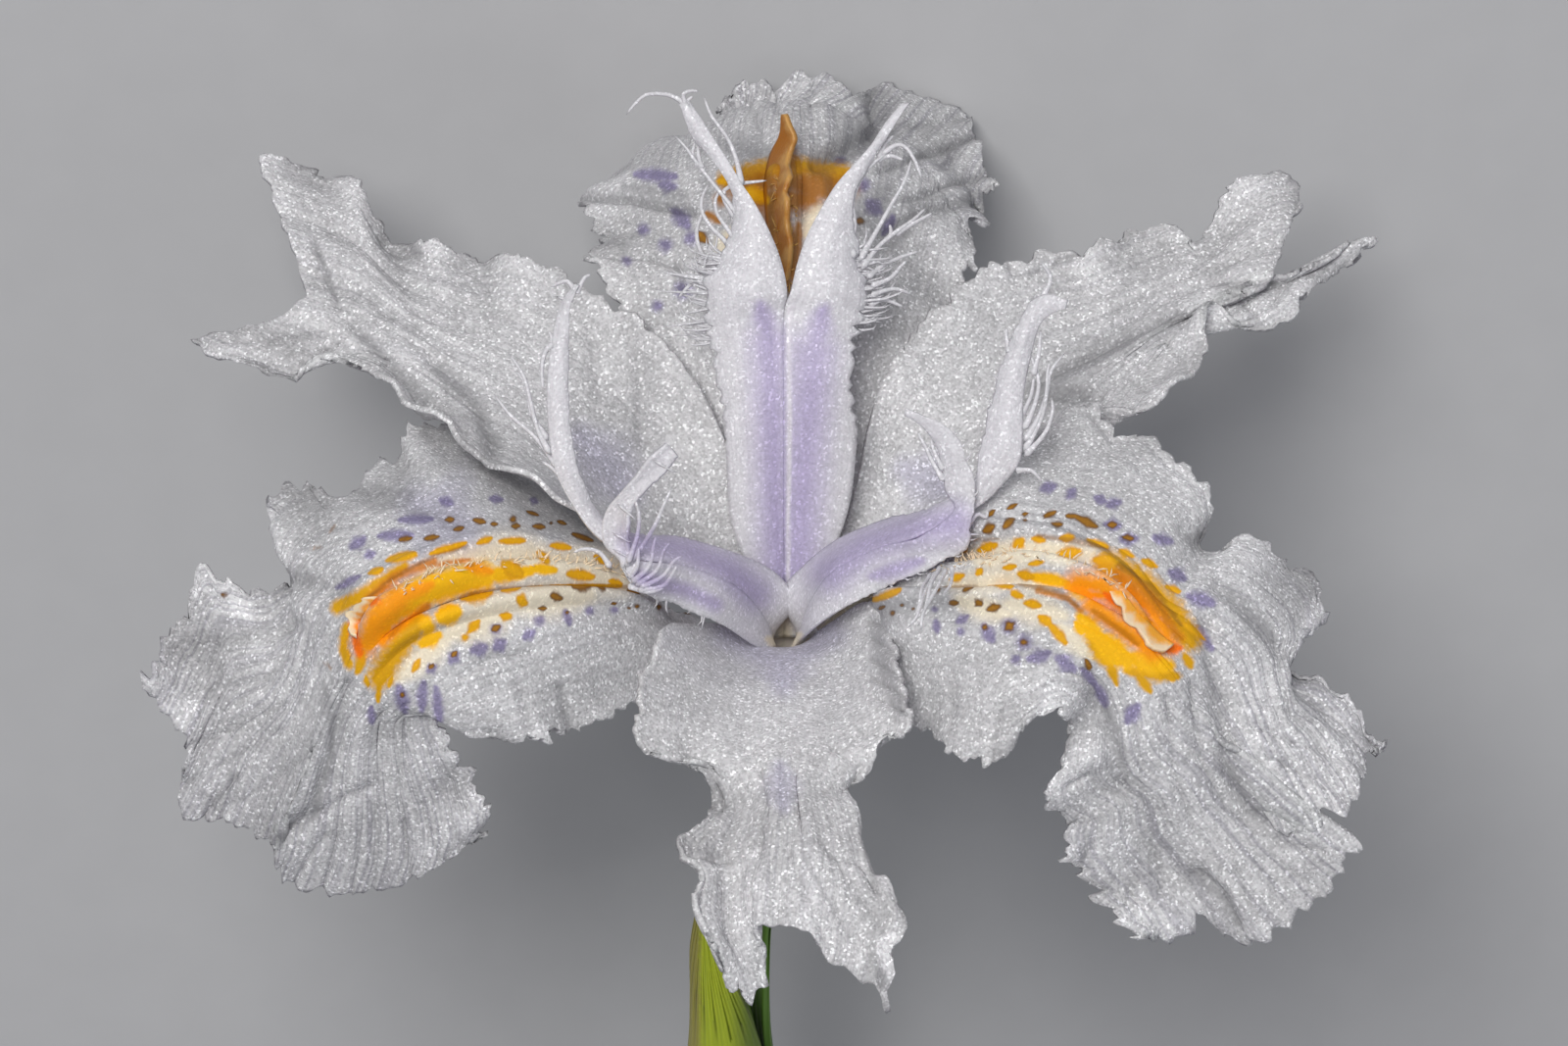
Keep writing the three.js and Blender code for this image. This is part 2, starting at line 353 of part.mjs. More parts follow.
// Style arms with crest lobes and fringe threads
const styles = {
  style_left: {
    azimuth: 210,
    mid: { own: [[0.75, 0, -0.6]],
      seen: [[-0.9, 0.5, 1.8], [-1.7, 1.5, 4.2], [-2.7, 2.2, 6.3], [-4.3, 2.8, 8], [-5.7, 3, 9.1], [-6.8, 3, 10]] },
    right: { own: [[0.72, -0.5, -0.6]], seen: [[0, 1, 1.5], [-0.7, 2.3, 3.4], [-2.2, 3.3, 5.4],
      [-4, 4, 7.2], [-5.6, 4.2, 8.4], [-6.7, 4.2, 9.4]] },
    left: { own: [[0.72, 0.5, -0.6]], seen: [[-0.6, -0.4, 1.2], [-1.7, 0.2, 3.5], [-3, 0.7, 5.5],
      [-4.4, 1.3, 6.8], [-5.6, 1.7, 8], [-6.7, 1.9, 9.2]] },
    lobes: [
      { line: [[-5.8, 3.4, 8], [-7.3, 4.6, 9.4], [-8.4, 6, 11], [-9.1, 8.4, 13], [-9.3, 10.8, 15],
        [-8.9, 12.6, 16.6], [-8.1, 14.4, 18]],
        width: [1.6, 1.5, 1.3, 1.15, 0.95, 0.8, 0.65], face: [0.35, -1, 0.4] },
      { line: [[-5.6, 3, 8], [-6.8, 3.6, 9], [-6.9, 5, 10.6], [-6, 6.3, 12], [-4.8, 7.2, 13.2],
        [-4.7, 7.8, 13.8]],
        width: [1.2, 1.1, 1.1, 1, 0.9, 0.65], face: [0.2, -1, 0.6] },
    ],
    threads: [
      [[-8.5, 13.6, 17.4], [-7.8, 14.4, 18], [-7.4, 14.8, 18.2]],
      [[-8.4, 14, 17.6], [-9, 14.4, 18], [-9.5, 14, 17.6]],
      [[-9.4, 8.6, 13.2], [-10.1, 10, 14], [-10.4, 11.1, 14.8], [-11.2, 11.7, 15]],
      [[-9, 7.4, 12.2], [-10.2, 8.4, 12.6], [-11.2, 9.2, 13], [-11.8, 9.8, 13.4]],
      [[-8.5, 6.3, 11.2], [-9.8, 7.4, 11.8], [-10.8, 8.4, 12.2]],
      [[-6.5, 2.6, 8.6], [-5.7, 3.4, 9.8], [-5.3, 4.8, 11], [-4.7, 6.2, 12.2]],
      [[-6.3, 2.3, 8.6], [-5.2, 2.6, 9.3], [-4.6, 3.1, 10]],
      [[-6.1, 2.1, 8.4], [-5, 2.3, 9], [-4.2, 3.3, 10]],
    ],
  },
  style_right: {
    azimuth: 330,
    mid: { own: [[0.75, 0, -0.6]],
      seen: [[1, 0.6, 1.8], [1.6, 1.6, 4.4], [2.4, 2.6, 6.6], [4.1, 3.5, 8.4], [5.6, 4, 9.7], [7.2, 4.3, 10.8]] },
    right: { own: [[0.72, -0.5, -0.6]], seen: [[0.6, -0.1, 1.2], [1.3, 0.6, 4], [2.4, 1.2, 5.8],
      [4, 1.9, 7.2], [5.4, 2.5, 8.4], [7, 2.8, 9.6]] },
    left: { own: [[0.72, 0.5, -0.6]], seen: [[0.2, 1.2, 1.6], [1, 2.5, 3.4], [2.4, 3.9, 5.8],
      [4.2, 4.8, 7.8], [5.8, 5.2, 9.2], [7.4, 5.7, 10.4]] },
    lobes: [
      { line: [[6.6, 4.2, 9.6], [8, 5.8, 10.6], [8.7, 7.4, 11.8], [9.2, 9.2, 13], [9.5, 11.2, 14.6],
        [9.8, 13, 16], [10.5, 13.9, 16.8], [11.4, 13.8, 17]],
        width: [1.7, 2, 2.1, 1.7, 1, 0.8, 1, 0.7], face: [-0.35, -1, 0.4] },
      { line: [[6.4, 4.2, 9.6], [7.1, 5.4, 10.4], [7.4, 6.8, 11.6], [7, 8.2, 12.8], [6.2, 9, 13.4],
        [5.2, 9.3, 13.6]],
        width: [1.2, 1, 0.9, 0.9, 0.8, 0.65], face: [-0.3, -1, 0.5] },
    ],
    threads: [
      [[10.7, 14, 17], [10.8, 14.8, 17.6], [10.5, 15.3, 18]],
      [[9.7, 7.6, 12.4], [10.6, 9, 13], [10.9, 10.6, 14.4], [11.2, 11.4, 14.8]],
      [[9.8, 8.4, 12.8], [10.5, 10, 13.8], [10.1, 11.2, 14.8]],
      [[9.6, 6.8, 11.8], [10.4, 7.6, 12.2], [10.9, 8.6, 12.8]],
      [[9.1, 6.5, 11.2], [10, 6.8, 11.4], [10.5, 6.4, 11]],
      [[7.2, 7.4, 12.2], [6.3, 7.8, 12.5], [5.7, 8.7, 13]],
      [[5.9, 3.1, 9.1], [6, 1.9, 8.6], [5.8, 0.8, 7.8]],
    ],
  },
  style_back: {
    azimuth: 90,
    mid: { own: [[0.75, 0, -0.6], [1.15, 0, 2.2], [2.8, 0, 5.4], [5, 0, 8.6], [7.4, 0, 11], [8.6, 0, 12]] },
    right: { own: [[0.72, -0.5, -0.6]], seen: [[0.5, 1.6, 1.6], [1.5, 3.6, 3.6], [2.5, 6, 5.6],
      [3, 8.4, 7.4], [2.9, 10.8, 9.4], [3.6, 13, 10.8]] },
    left: { own: [[0.72, 0.5, -0.6]], seen: [[-0.1, 1.6, 1.6], [-1.3, 3.6, 3.6], [-2, 5.6, 5.2],
      [-2.5, 8.8, 7.6], [-3.1, 11.6, 9.6], [-3.4, 14, 11.2]] },
    lobes: [
      { line: [[-0.9, 11.4, 9.9], [-1.1, 14, 11.9], [-1.6, 16.4, 13.6], [-2.3, 18.4, 14.8],
        [-3.1, 19.8, 15.8], [-3.9, 21.1, 16.6], [-4.1, 22, 17]],
        width: [2.4, 2.3, 1.6, 1.1, 0.9, 0.8, 0.65], face: [0.2, -1, 0.35] },
      { line: [[1.3, 11.4, 9.9], [1.5, 14, 11.9], [1.9, 16.4, 13.6], [2.6, 18.4, 14.8], [3.7, 20, 15.8],
        [4.6, 21, 16.6], [5.2, 21.8, 17]],
        width: [2.4, 2.3, 1.6, 1.1, 0.9, 0.7, 0.65], face: [-0.2, -1, 0.35] },
    ],
    threads: [
      [[-3.8, 21.2, 16.6], [-4.8, 21.9, 17], [-5.5, 22.1, 17.2], [-6.4, 21.4, 16.6]],
      [[-1.8, 18.4, 15], [-2.3, 20.2, 16], [-3.1, 21.4, 16.8], [-3.3, 22.1, 17.4]],
      [[-1.9, 16.4, 13.4], [-2.6, 18, 14.2], [-3.5, 19.4, 15], [-4.5, 20.5, 15.8]],
      [[-1.8, 17.4, 14], [-2.4, 18.1, 14.4], [-1.9, 18.5, 14.8], [-0.7, 18.6, 15]],
      [[-2.2, 14.8, 12], [-2.3, 15.8, 12.6], [-3.2, 17, 13.4], [-3.3, 18, 14]],
      [[-2.6, 13.4, 11.2], [-3.4, 15.6, 12.4], [-3.5, 16.9, 13], [-3.2, 17.8, 13.6]],
      [[-2.6, 13.4, 11], [-3.5, 14.3, 11.5], [-4.1, 14, 11.4]],
      [[2.1, 15.2, 12.8], [3.5, 16.3, 13.2], [4.6, 18, 14.2], [5.2, 19.4, 15]],
      [[1.9, 14.6, 12.4], [3.8, 15.9, 12.8], [5.1, 16.9, 13.2], [5.9, 17.4, 13.4]],
      [[3.6, 19.8, 15.6], [4.6, 20.1, 15.8], [5.2, 19.6, 15.6], [5.6, 18.7, 15]],
      [[2.2, 13.6, 11.7], [4.2, 15, 12], [5.4, 15.7, 12.2]],
      [[2.6, 12.8, 10.9], [4.1, 14.5, 11.6], [4.9, 15.2, 11.8]],
    ],
  },
};

// A lobe of a style arm: a ribbon along its line that keeps its face towards the given side.
function ribbon(azimuth, lobe) {
  const mid = curve(points(azimuth, { seen: lobe.line })), face = V(...lobe.face).normalize();
  return (s, t) => {
    const forward = mid(Math.min(s + 0.02, 1)).sub(mid(Math.max(s - 0.02, 0))).normalize();
    const side = face.clone().cross(forward).normalize(), normal = forward.clone().cross(side).normalize();
    return { point: mid(s).addScaledVector(side, along(lobe.width, s) / 2 * t), normal };
  };
}
for (const [name, part] of Object.entries(styles)) {
  const f = surface(part);
  const arm = (s, t) => ({ point: f(s, t), normal: normalAt(f, s, t) });
  const pieces = [
    blade(arm, armRows, armColumns, bladeThickness),
    ...part.lobes.map((lobe) => blade(ribbon(part.azimuth, lobe), lobeRows, lobeColumns, bladeThickness)),
    ...part.threads.map((line) => bar(points(0, { seen: line }), threadRadii, threadSides, threadSteps)),
  ];
  add(name, geometryOf(union(pieces.map(solid))), styleWhite);
}

// Stamens, each under a style arm
const stamenLine = { own: [[1.8, 0, 1.2], [3, 0, 3.3], [4.6, 0, 5.5], [6, 0, 7.1]] };
for (const [name, azimuth] of [['stamen_left', 210], ['stamen_right', 330], ['stamen_back', 90]])
  add(name, bar(points(azimuth, stamenLine), stamenRadii, stamenSides, stamenSteps), antherCream);

// Tube, ovary, bracts and stem: they lean a little to the left of the axis
const axisCurve = new THREE.CatmullRomCurve3(axisLine.map((p) => V(...p)), false, 'catmullrom', 0.5);
const halvings = 40;
function axisAt(z) {
  let a = 0, b = 1;
  for (let i = 0; i < halvings; i++) {
    const m = (a + b) / 2;
    if (axisCurve.getPoint(m).z > z) a = m; else b = m;
  }
  return V(axisCurve.getPoint(a).x, 0, z);
}
// A piece turned round the axis: its profile runs from the top down, so the rings are taken from the foot up.
function turned(profile, sides) {
  const rings = [...profile].reverse().map(([r, z]) => Array.from({ length: sides }, (_, j) => {
    const a = 2 * Math.PI * j / sides;
    return axisAt(z).add(V(r * Math.cos(a), r * Math.sin(a), 0));
  }));
  return ringed(rings, axisAt(profile.at(-1)[1]), axisAt(profile[0][1]));
}
add('perianth_tube', turned(tubeProfile, tubeSides), petalWhite);
add('ovary', turned(ovaryProfile, stemSides), stemGreen);
add('stem', turned(stemProfile, stemSides), stemGreen);

// A bract: a sheath round the axis over part of a turn, narrowing to a point at its top.
const bractRadius = new THREE.CatmullRomCurve3(bractRadii.map((r) => V(r, 0, 0)));
function bract({ foot, tip, turn, facing, point, flare }) {
  return (s, t) => {
    const wide = 1 - smoothstep(s, 0.45, 1.02) ** 1.3 * (1 - point);
    const a = radians(facing + turn / 2 * wide * t), outward = V(Math.cos(a), Math.sin(a), 0);
    const r = bractRadius.getPoint(s).x + flare * s ** 5;
    return { point: axisAt(lerp(foot, tip, s)).addScaledVector(outward, r), normal: outward };
  };
}
const bracts = {
  spathe_outer: { foot: -39, tip: -14.8, turn: 216, facing: 228, point: 0.12, flare: 0.25, color: bractGreen },
  spathe_inner: { foot: -38, tip: -15, turn: 100, facing: 38, point: 0.12, flare: 1.1, color: stemGreen },
};
for (const [name, b] of Object.entries(bracts))
  add(name, blade(bract(b), bractRows, bractColumns, bladeThickness), b.color);

// Laid down: leaned back about X, rolled about Y, and set on z = 0
group.children.forEach((mesh) => {
  mesh.geometry.applyMatrix4(new THREE.Matrix4().makeRotationX(lean));
  mesh.geometry.applyMatrix4(new THREE.Matrix4().makeRotationY(roll));
  mesh.geometry.translate(heart.x, heart.y, heart.z);
});

export default group;
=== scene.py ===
# A fringed iris flower, cut and laid down: the looks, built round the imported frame.
# Lengths in the tables are millimetres in the bloom's own frame: heart at the origin, +Z up its axis,
# the front petal towards -Y. Strokes of colour are given where the photograph shows them, in its pixels.
import math
import bpy
import bmesh
import numpy as np
from mathutils import Matrix


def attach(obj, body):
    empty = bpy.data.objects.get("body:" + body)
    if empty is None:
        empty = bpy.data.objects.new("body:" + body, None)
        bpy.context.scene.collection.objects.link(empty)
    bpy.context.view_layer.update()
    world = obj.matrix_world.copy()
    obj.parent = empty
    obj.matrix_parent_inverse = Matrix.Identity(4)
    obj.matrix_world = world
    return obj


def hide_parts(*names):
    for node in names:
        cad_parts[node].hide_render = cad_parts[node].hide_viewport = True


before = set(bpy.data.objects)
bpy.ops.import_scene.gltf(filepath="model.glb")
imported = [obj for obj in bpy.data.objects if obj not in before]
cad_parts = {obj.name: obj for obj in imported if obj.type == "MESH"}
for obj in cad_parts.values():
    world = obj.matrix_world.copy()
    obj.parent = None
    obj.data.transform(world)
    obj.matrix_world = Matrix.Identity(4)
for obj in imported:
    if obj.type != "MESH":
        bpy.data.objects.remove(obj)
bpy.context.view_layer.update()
print("frame loaded:", len(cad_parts), "solids")

mm = 0.001
turn = 2 * math.pi
lay = {"lean": -72.92, "roll": -1.65, "heart": (0.37, 25.66, 23.03), "floorGap": 0.12}
photo = {"width": 1600, "height": 1067, "pixelsPerMm": 25, "heartPixel": (800, 650),
         "eyeDistance": 240, "eyeTilt": 45, "eyeLift": 4.66}

laid = np.array(Matrix.Rotation(math.radians(lay["roll"]), 3, "Y") @
                Matrix.Rotation(math.radians(lay["lean"]), 3, "X"))
heart = np.array(lay["heart"])
tilt = math.radians(photo["eyeTilt"])
eyeRight = np.array([1.0, 0, 0])
eyeUp = np.array([0, math.sin(tilt), math.cos(tilt)])
eyeBack = np.array([0, -math.cos(tilt), math.sin(tilt)])
eye = eyeBack * photo["eyeDistance"] + eyeUp * photo["eyeLift"]


def laidDown(points):                     # bloom millimetres to metres where the flower lies
    return (points @ laid.T + heart) * mm


def upright(points):                      # and back
    return (points / mm - heart) @ laid


def pictured(points):                     # the pixel where the photograph shows a bloom point
    q = points - eye
    depth = -(q @ eyeBack)
    right = photo["eyeDistance"] * q[..., 0] / depth
    up = photo["eyeLift"] + photo["eyeDistance"] * (q @ eyeUp) / depth
    x, y = photo["heartPixel"]
    return np.stack([x + photo["pixelsPerMm"] * right, y - photo["pixelsPerMm"] * up], -1)


def ownPoint(azimuth, p):                 # out, side, high from the axis
    a = math.radians(azimuth)
    out, side, high = p
    return np.array([out * math.cos(a) - side * math.sin(a), out * math.sin(a) + side * math.cos(a), high])


def seenPoint(azimuth, p):                # right and up as the eye sees it, and the height or the mid plane
    ray = eyeRight * p[0] + eyeUp * p[1] - eye
    if len(p) == 3:
        return eye + ray * (p[2] - eye[2]) / ray[2]
    a = math.radians(azimuth)
    across = np.array([-math.sin(a), math.cos(a), 0])
    return eye - ray * (across @ eye) / (across @ ray)


def shownPoint(x, y, high):               # a pixel of the photograph at a given height
    hx, hy = photo["heartPixel"]
    return seenPoint(0, ((x - hx) / photo["pixelsPerMm"], (hy - y) / photo["pixelsPerMm"], high))


curveSteps = 240


def curve(points):                        # a smooth line, asked by its share of length
    p = np.array(points, float)
    p = np.vstack([2 * p[0] - p[1], p, 2 * p[-1] - p[-2]])
    u = np.linspace(0, len(points) - 1, curveSteps + 1)
    k = np.minimum(u.astype(int), len(points) - 2)
    v = (u - k)[:, None]
    a, b, c, d = p[k], p[k + 1], p[k + 2], p[k + 3]
    at = b + 0.5 * v * (c - a + v * (2 * a - 5 * b + 4 * c - d + v * (3 * b - a - 3 * c + d)))
    far = np.append(0, np.cumsum(np.linalg.norm(np.diff(at, axis=0), axis=1)))

    def ask(share):
        w = np.clip(share, 0, 1) * far[-1]
        return np.stack([np.interp(w, far, at[:, i]) for i in range(3)], -1)
    ask.length = far[-1]
    return ask


def smooth(x, low, high):
    u = np.clip((x - low) / (high - low), 0, 1)
    return u * u * (3 - 2 * u)


def hump(x, width):                       # 1 at 0, and 0.37 a width away
    return np.exp(-(x / width) ** 2)


def unit(v):
    return v / (np.linalg.norm(v, axis=-1, keepdims=True) + 1e-12)


def ahead(f, s, reach):                   # the way a line runs
    return unit(f(np.minimum(s + reach, 1)) - f(np.maximum(s - reach, 0)))


lineRepeat, cloudRepeat = 997, 97         # swings after which the noise repeats


def wander(x, seed):                      # smooth noise from -1 to 1, one swing a unit
    table = np.random.default_rng(seed).uniform(-1, 1, lineRepeat)
    k = np.floor(x).astype(int)
    f = smooth(x - k, 0, 1)
    return table[k % lineRepeat] * (1 - f) + table[(k + 1) % lineRepeat] * f


def cloud(x, y, seed):                    # the same over a surface
    table = np.random.default_rng(seed).uniform(-1, 1, (cloudRepeat, cloudRepeat))
    i, j = np.floor(x).astype(int), np.floor(y).astype(int)
    f, g = smooth(x - i, 0, 1), smooth(y - j, 0, 1)
    (a, b), (c, d) = [[table[k % cloudRepeat, m % cloudRepeat] for k in (i, i + 1)] for m in (j, j + 1)]
    return (a * (1 - f) + b * f) * (1 - g) + (c * (1 - f) + d * f) * g


def notches(x, seed):                     # a ragged edge, one notch a unit: 0 at its teeth, up to 1 between
    draw = np.random.default_rng(seed).uniform(0, 1, (2, lineRepeat))
    k = np.floor(x).astype(int)
    place, deep = 0.3 + 0.4 * draw[0][k % lineRepeat], 0.25 + 0.75 * draw[1][k % lineRepeat]
    return deep * np.where(x - k < place, (x - k) / place, (1 - (x - k)) / (1 - place))


# Mesh helpers
closeBy = 1e-7                            # metres within which vertices are one


def meshOf(bm, name):
    mesh = bpy.data.meshes.new(name)
    bm.to_mesh(mesh)
    bm.free()
    return mesh


def finished(bm, name):
    bmesh.ops.remove_doubles(bm, verts=bm.verts, dist=closeBy)
    return meshOf(bm, name)


def newObject(name, content):
    obj = bpy.data.objects.new(name, content)
    bpy.context.scene.collection.objects.link(obj)
    return obj


def places(mesh):
    flat = np.empty(3 * len(mesh.vertices), np.float32)
    mesh.vertices.foreach_get("co", flat)
    return flat.reshape(-1, 3).astype(float)


def gridMesh(name, rows, columns):        # a flat grid and its vertices' shares along and across
    bm = bmesh.new()
    bmesh.ops.create_grid(bm, x_segments=rows, y_segments=columns, size=1)
    mesh = meshOf(bm, name)
    x, y = places(mesh)[:, :2].T
    return mesh, (x + 1) / 2, y


def setPlaces(mesh, points):
    co = laidDown(points)
    co[:, 2] = np.maximum(co[:, 2], lay["floorGap"] * mm)
    mesh.vertices.foreach_set("co", co.astype(np.float32).ravel())
    mesh.update()


def setField(mesh, name, values):
    kind, key = ("FLOAT_VECTOR", "vector") if values.ndim == 2 else ("FLOAT", "value")
    layer = mesh.attributes.get(name) or mesh.attributes.new(name, kind, "POINT")
    layer.data.foreach_set(key, values.astype(np.float32).ravel())


def setGrain(mesh, across, along, lined=0.0):   # the tissue's own millimetres, and how strongly it is veined
    setField(mesh, "place", np.stack([across, along, np.zeros_like(across) + lined], -1))


def strokeDistance(at, ends, taper=0.0):  # pixels from a stroke, given as x, y, x, y, ...
    ends = np.array(ends, float).reshape(-1, 2)
    taper = taper if len(ends) == 2 else 0.0
    found = np.full(len(at), np.inf)
    for a, b in zip(ends, ends[1:] if len(ends) > 1 else ends):
        ab = b - a
        w = np.clip((at - a) @ ab / max(ab @ ab, 1e-9), 0, 1)
        slim = 1 - taper * (2 * w - 1) ** 2
        found = np.minimum(found, np.linalg.norm(at - a - w[:, None] * ab, axis=1) / slim)
    return found


strokeTaper = 0.5                         # how much a short stroke narrows towards its ends


def paint(mesh, strokes):                 # a field per colour: 1 on its strokes, 0.5 at their radius
    at = pictured(upright(places(mesh)))
    for name, lines in strokes.items():
        field = np.zeros(len(at))
        for line in lines:
            field = np.maximum(field, 1 - strokeDistance(at, line[:-1], strokeTaper) / (2 * line[-1]))
        setField(mesh, name, field)


def pieceName(nodeName, start=None):      # fall_left becomes fallLeft, or another start with the same Left
    first, second = nodeName.split("_")
    return (start or first) + second.capitalize()


def addPiece(name, mesh, nodes, materials):
    obj = newObject(name, mesh)
    for material in materials:
        mesh.materials.append(material)
    mesh.shade_smooth()
    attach(obj, "root")
    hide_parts(*nodes)
    return obj


def addWall(obj, thickness, backMaterial=0):
    wall = obj.modifiers.new("wall", "SOLIDIFY")
    wall.thickness, wall.offset, wall.material_offset = thickness * mm, 0, backMaterial
    wall.use_quality_normals = False


def addSheet(bm, mesh, thickness):        # adds the sheet with its thickness to a mesh in the making
    obj = newObject("sheet", mesh)
    addWall(obj, thickness)
    made = bpy.data.meshes.new_from_object(obj.evaluated_get(bpy.context.evaluated_depsgraph_get()))
    bpy.data.objects.remove(obj)
    bpy.data.meshes.remove(mesh)
    bm.from_mesh(made)
    bpy.data.meshes.remove(made)


def rod(bm, path, radii, sides, steps, face=(0.2, -1, 0.5), flat=1.0):
    verts = bmesh.ops.create_grid(bm, x_segments=steps, y_segments=sides, size=1)["verts"]
    s = np.array([(v.co.x + 1) / 2 for v in verts])
    a = np.array([v.co.y for v in verts]) * math.pi
    forward = ahead(path, s, 0.03)
    side = unit(np.cross(forward, np.array(face)))
    up = np.cross(side, forward)
    r = np.interp(s, np.linspace(0, 1, len(radii)), radii) * np.sqrt(1 - np.abs(2 * s - 1) ** (2 * steps))
    co = laidDown(path(s) + side * (r * np.cos(a))[:, None] + up * (flat * r * np.sin(a))[:, None])
    for v, c in zip(verts, co):
        v.co = c


# Node helpers
def setInputs(tree, made, inputs):        # a socket is linked, and a value set
    for key, value in inputs.items():
        if isinstance(value, bpy.types.NodeSocket):
            tree.links.new(value, made.inputs[key])
        else:
            made.inputs[key].default_value = value


def node(tree, kind, inputs, **settings):
    made = tree.nodes.new("ShaderNode" + kind)
    for key, value in settings.items():
        setattr(made, key, value)
    setInputs(tree, made, inputs)
    return made


def colour(*rgb):
    return (*rgb, 1)


def mix(tree, share, a, b, blend="MIX"):
    return node(tree, "Mix", {0: share, 6: a, 7: b}, data_type="RGBA", blend_type=blend).outputs[2]


def darkened(tree, base, value):
    grey = node(tree, "CombineColor", {0: value, 1: value, 2: value}).outputs[0]
    return mix(tree, 1.0, base, grey, "MULTIPLY")


def calc(tree, operation, a, b=0.0, c=0.0):
    return node(tree, "Math", {0: a, 1: b, 2: c}, operation=operation).outputs[0]


def spread(tree, value, low, high, top=1.0, **settings):
    span = {"Value": value, "From Min": low, "From Max": high, "To Max": top}
    return node(tree, "MapRange", span, **settings).outputs[0]


def bumped(tree, height, strength, depth, **inputs):
    inputs.update(Height=height, Strength=strength, Distance=depth)
    return node(tree, "Bump", inputs).outputs[0]


def ownField(tree, name, output="Fac"):
    return node(tree, "Attribute", {}, attribute_name=name).outputs[output]


def ownPlace(tree):                       # across, along and how strongly veined
    return node(tree, "SeparateXYZ", {0: ownField(tree, "place", "Vector")}).outputs


def newGroup(name, inputs, outputs):
    tree = bpy.data.node_groups.new(name, "ShaderNodeTree")
    for title, value in inputs.items():
        tree.interface.new_socket(title, in_out="INPUT", socket_type="NodeSocketFloat").default_value = value
    for title in outputs:
        tree.interface.new_socket(title, in_out="OUTPUT", socket_type="NodeSocketFloat")
    return tree, tree.nodes.new("NodeGroupInput").outputs, tree.nodes.new("NodeGroupOutput")


def useGroup(tree, group, inputs):
    made = tree.nodes.new("ShaderNodeGroup")
    made.node_tree = group
    setInputs(tree, made, inputs)
    return made.outputs


# The petals' tissue: tiny domed cells, each a little lighter or darker than the next; a few cells carry a
# painted glint, much lighter than the rest
cellLook = {"perMetre": 9000.0, "glinting": (0.86, 0.98), "dullest": 0.48, "ownShade": 0.34,
            "broadPerMetre": 900.0, "broadShade": 0.26, "paintedGlint": 0.72}
cells, given, put = newGroup("petalCells", {"Per metre": cellLook["perMetre"]}, ["ToneAndGlint", "Height", "Glint"])
place = node(cells, "TexCoord", {}).outputs["Object"]
dots = node(cells, "TexVoronoi", {"Vector": place, "Scale": given["Per metre"], "Randomness": 1.0}).outputs
tone = node(cells, "SeparateColor", {"Color": dots["Color"]}).outputs
broad = node(cells, "TexNoise", {"Vector": place, "Scale": cellLook["broadPerMetre"], "Detail": 3.0})
glint = spread(cells, tone[1], *cellLook["glinting"])
dull = calc(cells, "MULTIPLY_ADD", tone[0], cellLook["ownShade"],
            calc(cells, "MULTIPLY_ADD", broad.outputs[0], cellLook["broadShade"], cellLook["dullest"]))
setInputs(cells, put, {"ToneAndGlint": calc(cells, "MULTIPLY_ADD", glint, cellLook["paintedGlint"], dull),
                       "Height": calc(cells, "SUBTRACT", 1.0, dots["Distance"]), "Glint": glint})

# Veins and streaks that run along the petal, from its own millimetres: across, along
streaks, given, put = newGroup("petalStreaks", {"Across": 3.0, "Along": 0.12}, ["Streak"])
own = ownPlace(streaks)
stretched = node(streaks, "CombineXYZ", {0: calc(streaks, "MULTIPLY", own[0], given["Across"]),
                                         1: calc(streaks, "MULTIPLY", own[1], given["Along"])}).outputs[0]
fine = node(streaks, "TexNoise", {"Vector": stretched, "Scale": 1.0, "Detail": 4.0, "Roughness": 0.6})
setInputs(streaks, put, {"Streak": fine.outputs[0]})

# A painted field turned into a mark with a ragged rim
raggedPerMetre = 4200.0
marks, given, put = newGroup("raggedMark", {"Field": 0.0, "Wander": 0.3, "Soft": 0.12}, ["Mask"])
place = node(marks, "TexCoord", {}).outputs["Object"]
rough = node(marks, "TexNoise", {"Vector": place, "Scale": raggedPerMetre, "Detail": 3.0}).outputs[0]
moved = calc(marks, "MULTIPLY_ADD", calc(marks, "SUBTRACT", rough, 0.5), given["Wander"], given["Field"])
low, high = (calc(marks, operation, 0.5, given["Soft"]) for operation in ("SUBTRACT", "ADD"))
setInputs(marks, put, {"Mask": spread(marks, moved, low, high, interpolation_type="SMOOTHSTEP")})


def newMaterial(name):
    material = bpy.data.materials.new(name)
    material.use_nodes = True
    tree = material.node_tree
    return material, tree, tree.nodes["Principled BSDF"]


